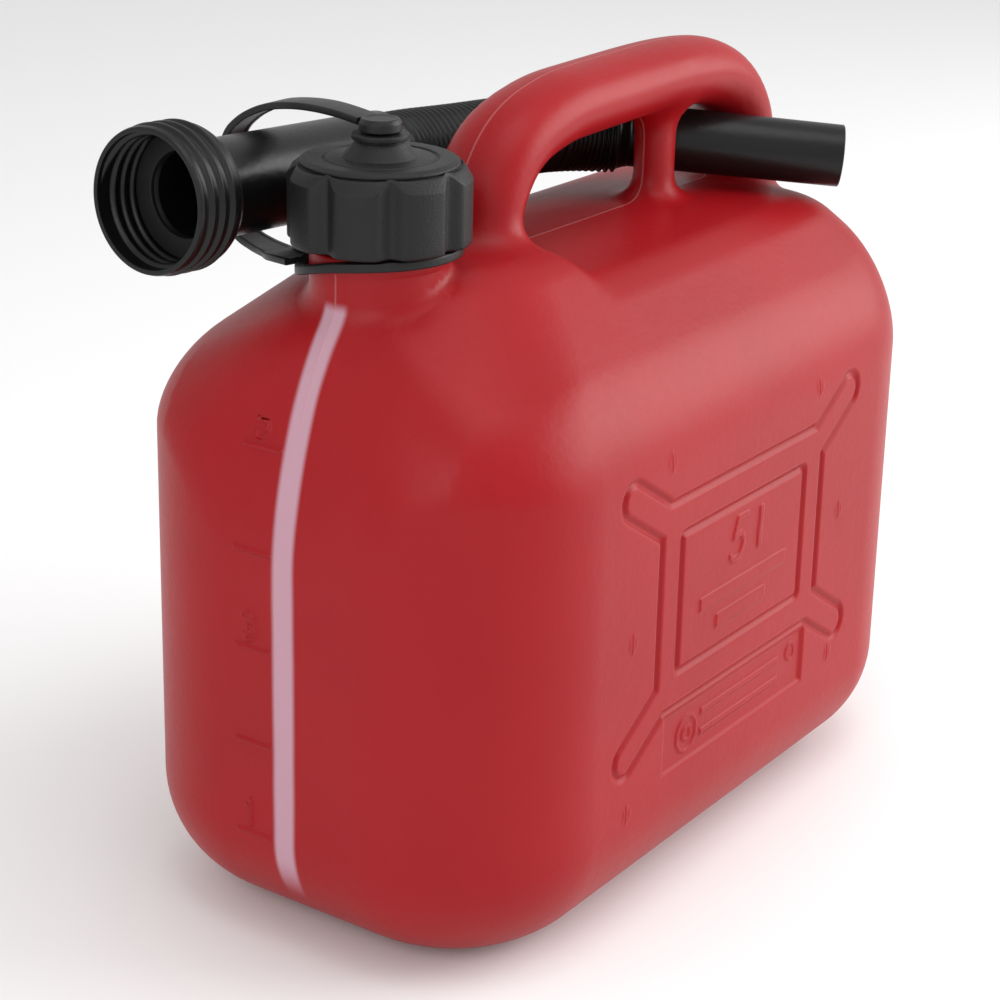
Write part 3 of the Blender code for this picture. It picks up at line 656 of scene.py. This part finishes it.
def cap_points():
    angles = np.arange(CAP_SIDES) * 2 * math.pi / CAP_SIDES
    pitch = 2 * math.pi / CAP_LOBES
    away = np.abs((angles + pitch / 2) % pitch - pitch / 2)
    skirt = CAP_R - 0.5 * MM * np.abs(away / (pitch / 2) - 1) ** 2 - FLUTE_DEPTH * flute(angles)
    edge_z = SHOULDER_LOW + (CAP_R - skirt) * SHOULDER_RISE
    disc_low = CAP_TOP - 1.9 * MM

    def ring(radius, height):
        radius = np.broadcast_to(radius, angles.shape)
        height = np.broadcast_to(height, angles.shape)
        return np.stack([radius * np.cos(angles), radius * np.sin(angles), height], axis=1)

    rows = []
    for height, radius in fillet([(CAP_ROOF, 6 * MM, 0), (CAP_ROOF, CAP_BORE_R, 1 * MM),
                                  (CAP_FOOT, CAP_BORE_R, 0.5 * MM),
                                  (CAP_FOOT, CAP_BORE_R + 1 * MM, 0)]):
        rows.append(ring(radius, height))
    for back, up in ((1.0, 0.0), (0.55, 0.05), (0.2, 0.3), (0.0, 0.9)):
        rows.append(ring(skirt - back * MM, CAP_FOOT + up * MM))
    for share in np.linspace(0.1, 0.9, 9):
        rows.append(ring(skirt, CAP_FOOT + 0.9 * MM + share * (edge_z - CAP_FOOT - 2 * MM)))
    for back, down in ((0.0, 0.75), (0.04, 0.4), (0.18, 0.14), (0.45, -0.12)):
        rows.append(ring(skirt - back * MM, edge_z - down * MM))
    for share in (0.35, 0.7):
        inner = CAP_DISC_R + 0.5 * MM
        radius = skirt - 0.45 * MM - share * (skirt - 0.45 * MM - inner)
        rows.append(ring(radius, edge_z + (skirt - radius) * SHOULDER_RISE
                         + share * (disc_low - edge_z - (skirt - radius) * SHOULDER_RISE)))
    cone_foot, cone_top = 10.5 * MM, 6.6 * MM
    flange_low, flange_top = CAP_TOP + 5.0 * MM, CAP_TOP + 6.6 * MM
    for height, radius in fillet([(disc_low - 0.2 * MM, CAP_DISC_R + 0.45 * MM, 0),
                                  (disc_low, CAP_DISC_R, 0.25 * MM),
                                  (disc_low + 0.4 * MM, CAP_DISC_R + 0.4 * MM, 0.4 * MM),
                                  (CAP_TOP - 0.9 * MM, CAP_DISC_R + 0.4 * MM, 0.6 * MM),
                                  (CAP_TOP, CAP_DISC_R - 1.1 * MM, 1.0 * MM),
                                  (CAP_TOP, 16.6 * MM, 0.2 * MM),
                                  (CAP_TOP - 0.55 * MM, 16.2 * MM, 0.2 * MM),
                                  (CAP_TOP - 0.55 * MM, 15.6 * MM, 0.2 * MM),
                                  (CAP_TOP - 0.1 * MM, 15.2 * MM, 0.3 * MM),
                                  (CAP_TOP + 0.2 * MM, cone_foot, 0.8 * MM),
                                  (flange_low, cone_top, 0.4 * MM),
                                  (flange_low, 7.95 * MM, 0.35 * MM),
                                  (flange_top, 7.95 * MM, 0.45 * MM),
                                  (flange_top, 3 * MM, 0.2 * MM),
                                  (flange_top + 2.2 * MM, 3 * MM, 0)]):
        rows.append(ring(radius, height))
    return np.array(rows)


cap = finished("cap", sheet(placed(cap_points(), (NECK_X, 0, 0))), sharp_angle=50)

inner_rib = wound_rib(CAP_BORE_R, CAP_FOOT + 3.5 * MM, THREAD_LEAD, 1.5, 0.75 * MM, 0.9 * MM,
                      inward=True)
cap_thread = finished("cap_thread", sheet(placed(inner_rib, (NECK_X, 0, 0))))

seal_section = fillet([(222.3 * MM, 13.2 * MM, 0.3 * MM), (222.3 * MM, 19.2 * MM, 0.3 * MM),
                       (223.7 * MM, 19.2 * MM, 0.3 * MM), (223.7 * MM, 13.2 * MM, 0.3 * MM)],
                      closed=True)
cap_seal = finished("seal_in_cap",
                    sheet(placed(turned(seal_section), (NECK_X, 0, 0)), close=True))

# %% [markdown]
# ## The tether
#
# Ring, strap and button are one soft moulding. The button snaps over the cap's stud so that
# the cap can turn under it. The strap runs from the button over the stored spout, down
# behind it and forward again to the ring that lies loose round the neck.

# %%
BUTTON_FOOT = 235.3 * MM
button_section = fillet([(BUTTON_FOOT + 2.3 * MM, 1.5 * MM, 0),
                         (BUTTON_FOOT + 2.3 * MM, 3.3 * MM, 0),
                         (BUTTON_FOOT, 3.3 * MM, 0.2 * MM), (BUTTON_FOOT, 5.5 * MM, 0.3 * MM),
                         (BUTTON_FOOT + 0.5 * MM, 6 * MM, 0.3 * MM),
                         (BUTTON_FOOT + 2.6 * MM, 6 * MM, 0.5 * MM),
                         (BUTTON_FOOT + 3.9 * MM, 5.2 * MM, 0.6 * MM),
                         (BUTTON_FOOT + 3.6 * MM, 3.6 * MM, 0.8 * MM),
                         (BUTTON_FOOT + 3.6 * MM, 0.5 * MM, 0)])
button = finished("button", sheet(placed(turned(button_section), (NECK_X, 0, 0))))

RING_BORE_R = 20.4 * MM
RING_Z = 200.5 * MM              # where the ring rests, at the rear
RING_LIFT = 2.8 * MM             # it bows up towards the cap at the front
RING_LIFT_AT = math.radians(-100)
RING_PULL = 4.8 * MM             # and the strap pulls it down where it joins
RING_PULL_AT = math.radians(125)
RING_PULL_SPREAD = math.radians(44)
ring_section = fillet([(-1.35 * MM, RING_BORE_R, 0.5 * MM), (-1.35 * MM, 23.6 * MM, 0.6 * MM),
                       (1.35 * MM, 23.6 * MM, 0.6 * MM), (1.35 * MM, RING_BORE_R, 0.5 * MM)],
                      closed=True)
ring_points = turned(ring_section, 120)
ring_angle = np.arctan2(ring_points[..., 1], ring_points[..., 0])
away = np.abs((ring_angle - RING_PULL_AT + math.pi) % (2 * math.pi) - math.pi)
ring_points[..., 2] += (RING_LIFT * ((1 + np.cos(ring_angle - RING_LIFT_AT)) / 2) ** 0.75
                        - RING_PULL * np.exp(-(away / RING_PULL_SPREAD) ** 2))
ring = finished("ring", sheet(placed(ring_points, (NECK_X, 0, RING_Z)), close=True))

# the strap's middle line from the button to the ring, with its width along the way (mm)
STRAP_LINE = [(-86.2, 4.2, 238.0, 8.4), (-84.1, 14, 238.6, 8.8), (-81.8, 24, 238.5, 9.5),
              (-80.6, 33, 237.8, 9.5), (-79.0, 42, 236.1, 9.5), (-78.2, 49, 233.6, 9.5),
              (-77.6, 55, 230.2, 9.5), (-77.0, 60, 225.4, 9.5), (-76.6, 63.4, 216.8, 9.5),
              (-76.8, 63.6, 207.6, 9.5), (-77.2, 60.4, 199.4, 9.5), (-78.4, 54.6, 195.6, 9.5),
              (-80.8, 47, 194.4, 9.5), (-85.4, 38, 194.9, 9.5), (-91.0, 30.8, 196.2, 9.5),
              (-95.0, 21.8, 197.2, 9.0)]
STRAP_THICK = 2.1 * MM


def strap_points():
    line = smooth_curve(np.array(STRAP_LINE) * MM, 1.2 * MM)
    path, widths = line[:, :3], line[:, 3]
    along = directions(path)
    across = np.array([1.0, 0.0, 0.0]) - along * along[:, :1]
    across /= np.linalg.norm(across, axis=1, keepdims=True)
    out = np.cross(along, across)
    rows = []
    for point, wide, thick, width in zip(path, across, out, widths):
        half, rim, web = width / 2, STRAP_THICK / 2, STRAP_THICK / 2 - 0.3 * MM
        section = fillet([(-half, -rim, 0.5 * MM), (half, -rim, 0.5 * MM),
                          (half, rim, 0.5 * MM), (half - 1.3 * MM, rim, 0.25 * MM),
                          (half - 1.7 * MM, web, 0.25 * MM), (-half + 1.7 * MM, web, 0.25 * MM),
                          (-half + 1.3 * MM, rim, 0.25 * MM), (-half, rim, 0.5 * MM)],
                         closed=True, steps=3)
        rows.append([point + wide * a + thick * b for a, b in section])
    return np.array(rows)


strap = finished("strap", sheet(strap_points()))

# %% [markdown]
# ## The spout
#
# The spout is one blow-moulding too: a threaded collar, a smooth pipe, a bellows hose that
# bends behind the handle, and a plain nozzle pushed out through the handle's rear gap.

# %%
PIPE_YAW = math.radians(-1.5)
NOZZLE_YAW = math.radians(-57.5)
PIPE_AXIS = heading(PIPE_YAW, math.radians(2.6))
PIPE_START = Vector((-131, 45.6, 216.8)) * MM
NOZZLE_AXIS = heading(NOZZLE_YAW, math.radians(4.2))
NOZZLE_CROSS = Vector((80.3, 0, 205.0)) * MM
NOZZLE_IN = 20 * MM              # length of the nozzle behind the handle's middle plane
NOZZLE_OUT = 50.5 * MM
PIPE_LENGTH = 101 * MM
PIPE_R = 14.2 * MM
PIPE_BORE_R = 12.2 * MM
COLLAR_R = 21.2 * MM
COLLAR_LENGTH = 18.5 * MM
COLLAR_ROOT_R = 20.1 * MM        # between the ribs on the outside of the collar
COLLAR_RIBS = 3
COLLAR_RIB_PITCH = 4.1 * MM


def collar_section():
    """Collar, shoulder and pipe; the bore side comes back to the mouth."""
    outer = [(0, 18.9 * MM, 0.3 * MM), (0, 20.3 * MM, 0.4 * MM),
             (1.3 * MM, 20.7 * MM, 0.5 * MM)]
    at = 1.3 * MM
    for _ in range(COLLAR_RIBS):
        outer += [(at + 0.7 * MM, COLLAR_ROOT_R, 0.7 * MM),
                  (at + 2.2 * MM, COLLAR_ROOT_R, 0.7 * MM),
                  (at + 3.1 * MM, COLLAR_R, 0.7 * MM), (at + 3.9 * MM, COLLAR_R, 0.7 * MM)]
        at += COLLAR_RIB_PITCH
    outer += [(at + 0.8 * MM, 20.2 * MM, 0.6 * MM),
              (COLLAR_LENGTH - 2.4 * MM, 20.2 * MM, 0.8 * MM),
              (COLLAR_LENGTH - 0.4 * MM, 19.2 * MM, 1.6 * MM),
              (COLLAR_LENGTH + 1 * MM, 15.8 * MM, 1.5 * MM),
              (COLLAR_LENGTH + 4.5 * MM, PIPE_R, 3 * MM),
              # rings on the straight pipe keep its smooth shading even up to the end
              (PIPE_LENGTH - 22 * MM, PIPE_R, 0), (PIPE_LENGTH - 17 * MM, PIPE_R, 0.6 * MM),
              (PIPE_LENGTH - 16.4 * MM, PIPE_R, 0),
              (PIPE_LENGTH - 1 * MM, PIPE_R, 0.6 * MM),
              (PIPE_LENGTH, PIPE_R - 1.2 * MM, 0.4 * MM)]
    inner = [(PIPE_LENGTH, PIPE_BORE_R, 0), (COLLAR_LENGTH - 1 * MM, PIPE_BORE_R, 0.6 * MM),
             (COLLAR_LENGTH - 2.3 * MM, 13.2 * MM, 0.6 * MM),
             (COLLAR_LENGTH - 2.3 * MM, 18.7 * MM, 1 * MM)]
    return fillet(outer + inner, closed=True, steps=4)


mouth = finished("spout_collar_and_pipe",
                 sheet(placed(turned(collar_section(), 128), PIPE_START, PIPE_AXIS), close=True),
                 sharp_angle=60)
turns_in = wound_rib(18.8 * MM, 2.4 * MM, 3.7 * MM, 3.2, 1.5 * MM, 1.3 * MM, inward=True,
                     per_turn=96)
mouth_thread = finished("spout_thread", sheet(placed(turns_in, PIPE_START, PIPE_AXIS)))

seal_low = COLLAR_LENGTH - 2.3 * MM - 1.8 * MM
seal_section = fillet([(seal_low, 12.3 * MM, 0.4 * MM), (seal_low, 18.3 * MM, 0.4 * MM),
                       (seal_low + 1.5 * MM, 18.3 * MM, 0.4 * MM),
                       (seal_low + 1.5 * MM, 12.3 * MM, 0.4 * MM)], closed=True)
spout_seal = finished("seal_in_spout",
                      sheet(placed(turned(seal_section), PIPE_START, PIPE_AXIS), close=True))

# %% [markdown]
# The hose is a tube whose radius rises and falls every couple of millimetres along a path
# that runs straight out of the pipe and then bends once into the nozzle.

# %%
HOSE_R = 13.2 * MM
HOSE_PITCH = 2.35 * MM
HOSE_RIB = 1.1 * MM
HOSE_BEND_R = 38 * MM


def hose_path():
    start = PIPE_START + PIPE_AXIS * PIPE_LENGTH
    end = NOZZLE_CROSS - NOZZLE_AXIS * NOZZLE_IN
    turn = PIPE_YAW - NOZZLE_YAW
    reach = HOSE_BEND_R * math.tan(turn / 2)
    corner = end - NOZZLE_AXIS * reach
    points = [start, start + PIPE_AXIS * HOSE_R]
    entry = corner - (corner - start).normalized() * reach
    points += [start.lerp(entry, 0.5), entry]
    for t in (0.25, 0.5, 0.75):
        points.append(entry.lerp(corner, t).lerp(corner.lerp(end, t), t))
    points.append(end)
    return smooth_curve(points, 0.25 * MM)


def hose_points(sides=72):
    path = hose_path()
    along = directions(path)
    lengths = np.r_[0, np.cumsum(np.linalg.norm(np.diff(path, axis=0), axis=1))]
    total = lengths[-1]
    ribs = max(1, round((total - 8 * MM) / HOSE_PITCH))
    stations = [0.0]
    radii = [PIPE_R - 1.2 * MM]
    first = 3.0 * MM
    stations.append(first * 0.6)
    radii.append(HOSE_R - 0.6 * MM)
    pitch = (total - 2 * first) / ribs
    for i in range(ribs):
        for share, drop in ((0.0, 1.0), (0.14, 0.85), (0.34, 0.12), (0.5, 0.0), (0.66, 0.12),
                            (0.86, 0.85)):
            stations.append(first + pitch * (i + share))
            radii.append(HOSE_R - HOSE_RIB * drop)
    stations += [total - first, total - 0.3 * first, total]
    radii += [HOSE_R - HOSE_RIB, 11.6 * MM, 10.7 * MM]
    stations, radii = np.array(stations), np.array(radii)
    taper = np.clip((stations - (total - 6 * MM)) / (6 * MM), 0, 1)
    radii = radii - taper * np.clip(radii - 10.7 * MM, 0, 1.0 * MM)
    centre = np.array([np.interp(stations, lengths, path[:, i]) for i in range(3)]).T
    heading_at = np.array([np.interp(stations, lengths, along[:, i]) for i in range(3)]).T
    angles = np.arange(sides) * 2 * math.pi / sides
    circle = np.stack([np.cos(angles), np.sin(angles), np.zeros(sides)], axis=1)
    rows = [circle * r @ frame_to(a).T + c for c, a, r in zip(centre, heading_at, radii)]
    inner = [circle * 10.2 * MM @ frame_to(a).T + c
             for c, a in zip(centre[::-6], heading_at[::-6])]
    return np.array(rows + inner)


hose = finished("hose", sheet(hose_points(), close=True), sharp_angle=180)

nozzle_length = NOZZLE_IN + NOZZLE_OUT
nozzle_section = fillet([(0, 9.2 * MM, 0), (0, 10.5 * MM, 0.3 * MM), (1.0 * MM, 10.5 * MM, 0),
                         (nozzle_length, 10.2 * MM, 0.45 * MM),
                         (nozzle_length, 8.8 * MM, 0.4 * MM), (2 * MM, 9.2 * MM, 0)], closed=True)
nozzle = finished("nozzle",
                  sheet(placed(turned(nozzle_section), NOZZLE_CROSS - NOZZLE_AXIS * NOZZLE_IN,
                               NOZZLE_AXIS), close=True))

# %% [markdown]
# ## Plastics
#
# The numbers below give where the strip and the parting line fade, from clear to full.
#
# The red plastic is a satin polyethylene with the fine orange peel of blow moulding. The
# clear level strip down the front is the same wall without pigment, so it is a band in the
# can's own material, with soft edges. The mould's parting line is a thin pale ridge where
# the two mould halves met. The black plastic is a little smoother on the spout.


# %%
class Nodes:
    """Short way to write a node tree."""

    def __init__(self, name):
        self.mat = bpy.data.materials.new(name)
        self.mat.use_nodes = True
        self.tree = self.mat.node_tree
        self.shader = self.tree.nodes["Principled BSDF"]

    def add(self, kind, **settings):
        node = self.tree.nodes.new(kind)
        for key, value in settings.items():
            setattr(node, key, value)
        return node

    def feed(self, socket, value):
        if isinstance(value, bpy.types.NodeSocket):
            self.tree.links.new(value, socket)
        else:
            socket.default_value = value

    def math(self, operation, a, b=0.0, c=0.0):
        node = self.add("ShaderNodeMath", operation=operation)
        for socket, value in zip(node.inputs, (a, b, c)):
            self.feed(socket, value)
        return node.outputs[0]

    def ramp(self, value, low, high):
        """0 below low, 1 above high, smooth between; low may be above high."""
        node = self.add("ShaderNodeMapRange", interpolation_type="SMOOTHSTEP")
        self.feed(node.inputs["Value"], value)
        flip = low > high
        node.inputs["From Min"].default_value = min(low, high)
        node.inputs["From Max"].default_value = max(low, high)
        node.inputs["To Min"].default_value = 1.0 if flip else 0.0
        node.inputs["To Max"].default_value = 0.0 if flip else 1.0
        return node.outputs["Result"]

    def mix(self, share, a, b):
        node = self.add("ShaderNodeMix", data_type="RGBA")
        self.feed(node.inputs["Factor"], share)
        self.feed(node.inputs["A"], a)
        self.feed(node.inputs["B"], b)
        return node.outputs["Result"]

    def place(self):
        coords = self.add("ShaderNodeTexCoord")
        apart = self.add("ShaderNodeSeparateXYZ")
        self.tree.links.new(coords.outputs["Object"], apart.inputs[0])
        return coords.outputs["Object"], apart.outputs

    def noise(self, where, scale, detail=2.0, roughness=0.5):
        node = self.add("ShaderNodeTexNoise")
        self.tree.links.new(where, node.inputs["Vector"])
        node.inputs["Scale"].default_value = scale
        node.inputs["Detail"].default_value = detail
        node.inputs["Roughness"].default_value = roughness
        return node.outputs["Fac"]

    def bump(self, height, distance, strength=1.0):
        node = self.add("ShaderNodeBump")
        self.feed(node.inputs["Height"], height)
        node.inputs["Distance"].default_value = distance
        node.inputs["Strength"].default_value = strength
        self.tree.links.new(node.outputs["Normal"], self.shader.inputs["Normal"])


STRIP_SIDES = (4.9 * MM, 2.8 * MM)
STRIP_REAR = (-95 * MM, -100 * MM)
STRIP_TOP = (191.5 * MM, 188 * MM)
STRIP_FOOT = (14 * MM, 30 * MM)
LINE_SIDES = (0.55 * MM, 0.1 * MM)
LINE_FOOT = (150 * MM, 165 * MM)


def red_plastic(with_lines):
    n = Nodes("red_polyethylene" if with_lines else "red_polyethylene_plain")
    where, (x, y, z) = n.place()
    peel = n.noise(where, 620, detail=2.0)
    swell = n.noise(where, 90, detail=2.0)
    tint = n.noise(where, 14, detail=3.0)
    red = n.mix(n.ramp(tint, 0.3, 0.7), (0.30, 0.003, 0.006, 1), (0.33, 0.0045, 0.008, 1))
    height = n.math("MULTIPLY_ADD", swell, 1.6, n.math("MULTIPLY", peel, 0.55))
    rough = n.math("MULTIPLY_ADD", peel, 0.10, 0.36)
    if with_lines:
        off_middle = n.math("ABSOLUTE", y)
        wander = n.noise(where, 45, detail=1.0)
        off_middle_soft = n.math("ADD", off_middle, n.math("MULTIPLY", wander, 0.0006))
        strip = n.ramp(off_middle_soft, *STRIP_SIDES)
        strip = n.math("MULTIPLY", strip, n.ramp(x, *STRIP_REAR))
        strip = n.math("MULTIPLY", strip, n.ramp(z, *STRIP_TOP))
        strip = n.math("MULTIPLY", strip, n.ramp(z, *STRIP_FOOT))
        red = n.mix(n.math("MULTIPLY", strip, 0.93), red, (0.52, 0.31, 0.38, 1))
        line = n.ramp(off_middle, *LINE_SIDES)
        line = n.math("MULTIPLY", line, n.ramp(z, *LINE_FOOT))
        line = n.math("MULTIPLY", line, n.math("SUBTRACT", 1.0, n.math("MULTIPLY", strip, 0.8)))
        red = n.mix(n.math("MULTIPLY", line, 0.45), red, (0.62, 0.16, 0.16, 1))
        height = n.math("MULTIPLY_ADD", line, 3.0, height)
    n.feed(n.shader.inputs["Base Color"], red)
    n.feed(n.shader.inputs["Roughness"], rough)
    n.shader.inputs["Specular IOR Level"].default_value = 0.24
    n.shader.inputs["Subsurface Weight"].default_value = 0.12
    n.shader.inputs["Subsurface Radius"].default_value = (1.0, 0.12, 0.08)
    n.shader.inputs["Subsurface Scale"].default_value = 0.004
    n.bump(height, 0.00010)
    return n.mat


def black_plastic(name, grain, base, rough_base, peel_scale):
    n = Nodes(name)
    where, _ = n.place()
    peel = n.noise(where, peel_scale, detail=3.0, roughness=0.6)
    broad = n.noise(where, 60, detail=2.0)
    scuffs = n.noise(where, 240, detail=4.0, roughness=0.7)
    shade = n.mix(n.ramp(broad, 0.3, 0.7), (base, base, base * 1.05, 1),
                  (base * 1.35, base * 1.35, base * 1.42, 1))
    n.feed(n.shader.inputs["Base Color"], shade)
    n.feed(n.shader.inputs["Roughness"], n.math("MULTIPLY_ADD", scuffs, 0.16, rough_base))
    n.shader.inputs["Specular IOR Level"].default_value = 0.32
    n.bump(peel, grain)
    return n.mat


RED = red_plastic(True)
RED_PLAIN = red_plastic(False)
CAP_BLACK = black_plastic("black_cap_plastic", 0.00016, 0.0060, 0.42, 1500)
TETHER_BLACK = black_plastic("black_tether_plastic", 0.00006, 0.006, 0.36, 900)
SPOUT_BLACK = black_plastic("black_spout_plastic", 0.00008, 0.0035, 0.27, 500)
SEAL_BLACK = black_plastic("seal_rubber", 0.00008, 0.008, 0.60, 1200)
print("materials:", [m.name for m in bpy.data.materials])

# %% [markdown]
# ## Which piece stands for which node, and what it moves with
#
# Each piece takes the place of a CAD node, rides on the body that carries it and gets its
# material; the table also names a slot of the record for each piece. The strap and the hose
# ride on no body.

# %%
OBJECT = [
    (can, RED, "can", "can_plastic", "can_body"),
    (neck, RED_PLAIN, "can", "can_plastic", "can_body"),
    (thread, RED_PLAIN, "can", "can_plastic", "can_body"),
    (cap, CAP_BLACK, "cap", "cap_plastic", "screw_cap"),
    (cap_thread, CAP_BLACK, "cap", "cap_plastic", "screw_cap"),
    (cap_seal, SEAL_BLACK, "cap", "seal_rubber", "cap_seal"),
    (button, TETHER_BLACK, "cap_lift", "cap_plastic", "tether_button"),
    (ring, TETHER_BLACK, "can", "cap_plastic", "tether_ring"),
    (strap, TETHER_BLACK, None, "cap_plastic", "tether_strap"),
    (mouth, SPOUT_BLACK, "can", "spout_plastic", "spout_mouth"),
    (mouth_thread, SPOUT_BLACK, "can", "spout_plastic", "spout_mouth"),
    (spout_seal, SEAL_BLACK, "can", "seal_rubber", "spout_seal"),
    (hose, SPOUT_BLACK, None, "spout_plastic", "spout_hose"),
    (nozzle, SPOUT_BLACK, "nozzle", "spout_plastic", "spout_nozzle"),
]
for piece, material, body, slot, node in OBJECT:
    piece.data.materials.clear()
    piece.data.materials.append(material)
    if body:
        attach(piece, body)
    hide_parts(node)
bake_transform(strap)
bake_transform(hose)
print("pieces:", len(OBJECT))

# %% [markdown]
# ## Studio
#
# A pale floor, a bright even sky, a large soft light from the right, a gentler one from above
# and a weak fill, and a camera higher than the can that looks down at its near corner.


# %%
def soft_light(name, place, target, size, power, colour=(1, 1, 1)):
    data = bpy.data.lights.new(name, "AREA")
    data.shape = "RECTANGLE"
    data.size, data.size_y = size
    data.energy = power
    data.color = colour
    light = bpy.data.objects.new(name, data)
    light.location = place
    light.rotation_euler = (Vector(target) - Vector(place)).to_track_quat("-Z", "Y").to_euler()
    bpy.context.collection.objects.link(light)
    return light


MIDDLE = (0, 0, 0.11)
soft_light("rear_right", (0.95, -0.95, 0.70), MIDDLE, (1.3, 1.0), 18)
soft_light("top", (-0.1, -0.3, 1.4), MIDDLE, (0.8, 0.8), 4)
soft_light("front_fill", (-1.2, -0.2, 0.7), MIDDLE, (0.8, 0.8), 4)

ground = bmesh.new()
bmesh.ops.create_grid(ground, x_segments=1, y_segments=1, size=6.0)
floor = finished("floor", ground)
floor_look = Nodes("pale_floor")
floor_look.shader.inputs["Base Color"].default_value = (0.90, 0.90, 0.90, 1)
floor_look.shader.inputs["Roughness"].default_value = 0.7
floor.data.materials.append(floor_look.mat)

world = bpy.data.worlds.new("studio")
world.use_nodes = True
world.node_tree.nodes["Background"].inputs["Color"].default_value = (1, 1, 1, 1)
world.node_tree.nodes["Background"].inputs["Strength"].default_value = 0.74
bpy.context.scene.world = world

CAMERA_YAW = math.radians(34.99)
CAMERA_PITCH = math.radians(19.18)
CAMERA_ROLL = math.radians(1.17)
CAMERA_LENS = 87.87              # mm, on a sensor 36 mm wide
CAMERA_SHIFT = (0.0173, -0.0659)
camera_data = bpy.data.cameras.new("camera")
camera_data.sensor_width = 36
camera_data.lens = CAMERA_LENS
camera_data.shift_x, camera_data.shift_y = CAMERA_SHIFT
camera = bpy.data.objects.new("camera", camera_data)
ahead = Vector((math.cos(CAMERA_YAW) * math.cos(CAMERA_PITCH),
                math.sin(CAMERA_YAW) * math.cos(CAMERA_PITCH), -math.sin(CAMERA_PITCH)))
camera.rotation_euler = ahead.to_track_quat("-Z", "Y").to_euler()
camera.rotation_euler.rotate_axis("Z", CAMERA_ROLL)
camera.location = Vector((-607.3, -400.9, 376.8)) * MM
bpy.context.collection.objects.link(camera)
bpy.context.scene.camera = camera
bpy.context.scene.view_settings.view_transform = "Standard"
print("camera at", tuple(camera.location))
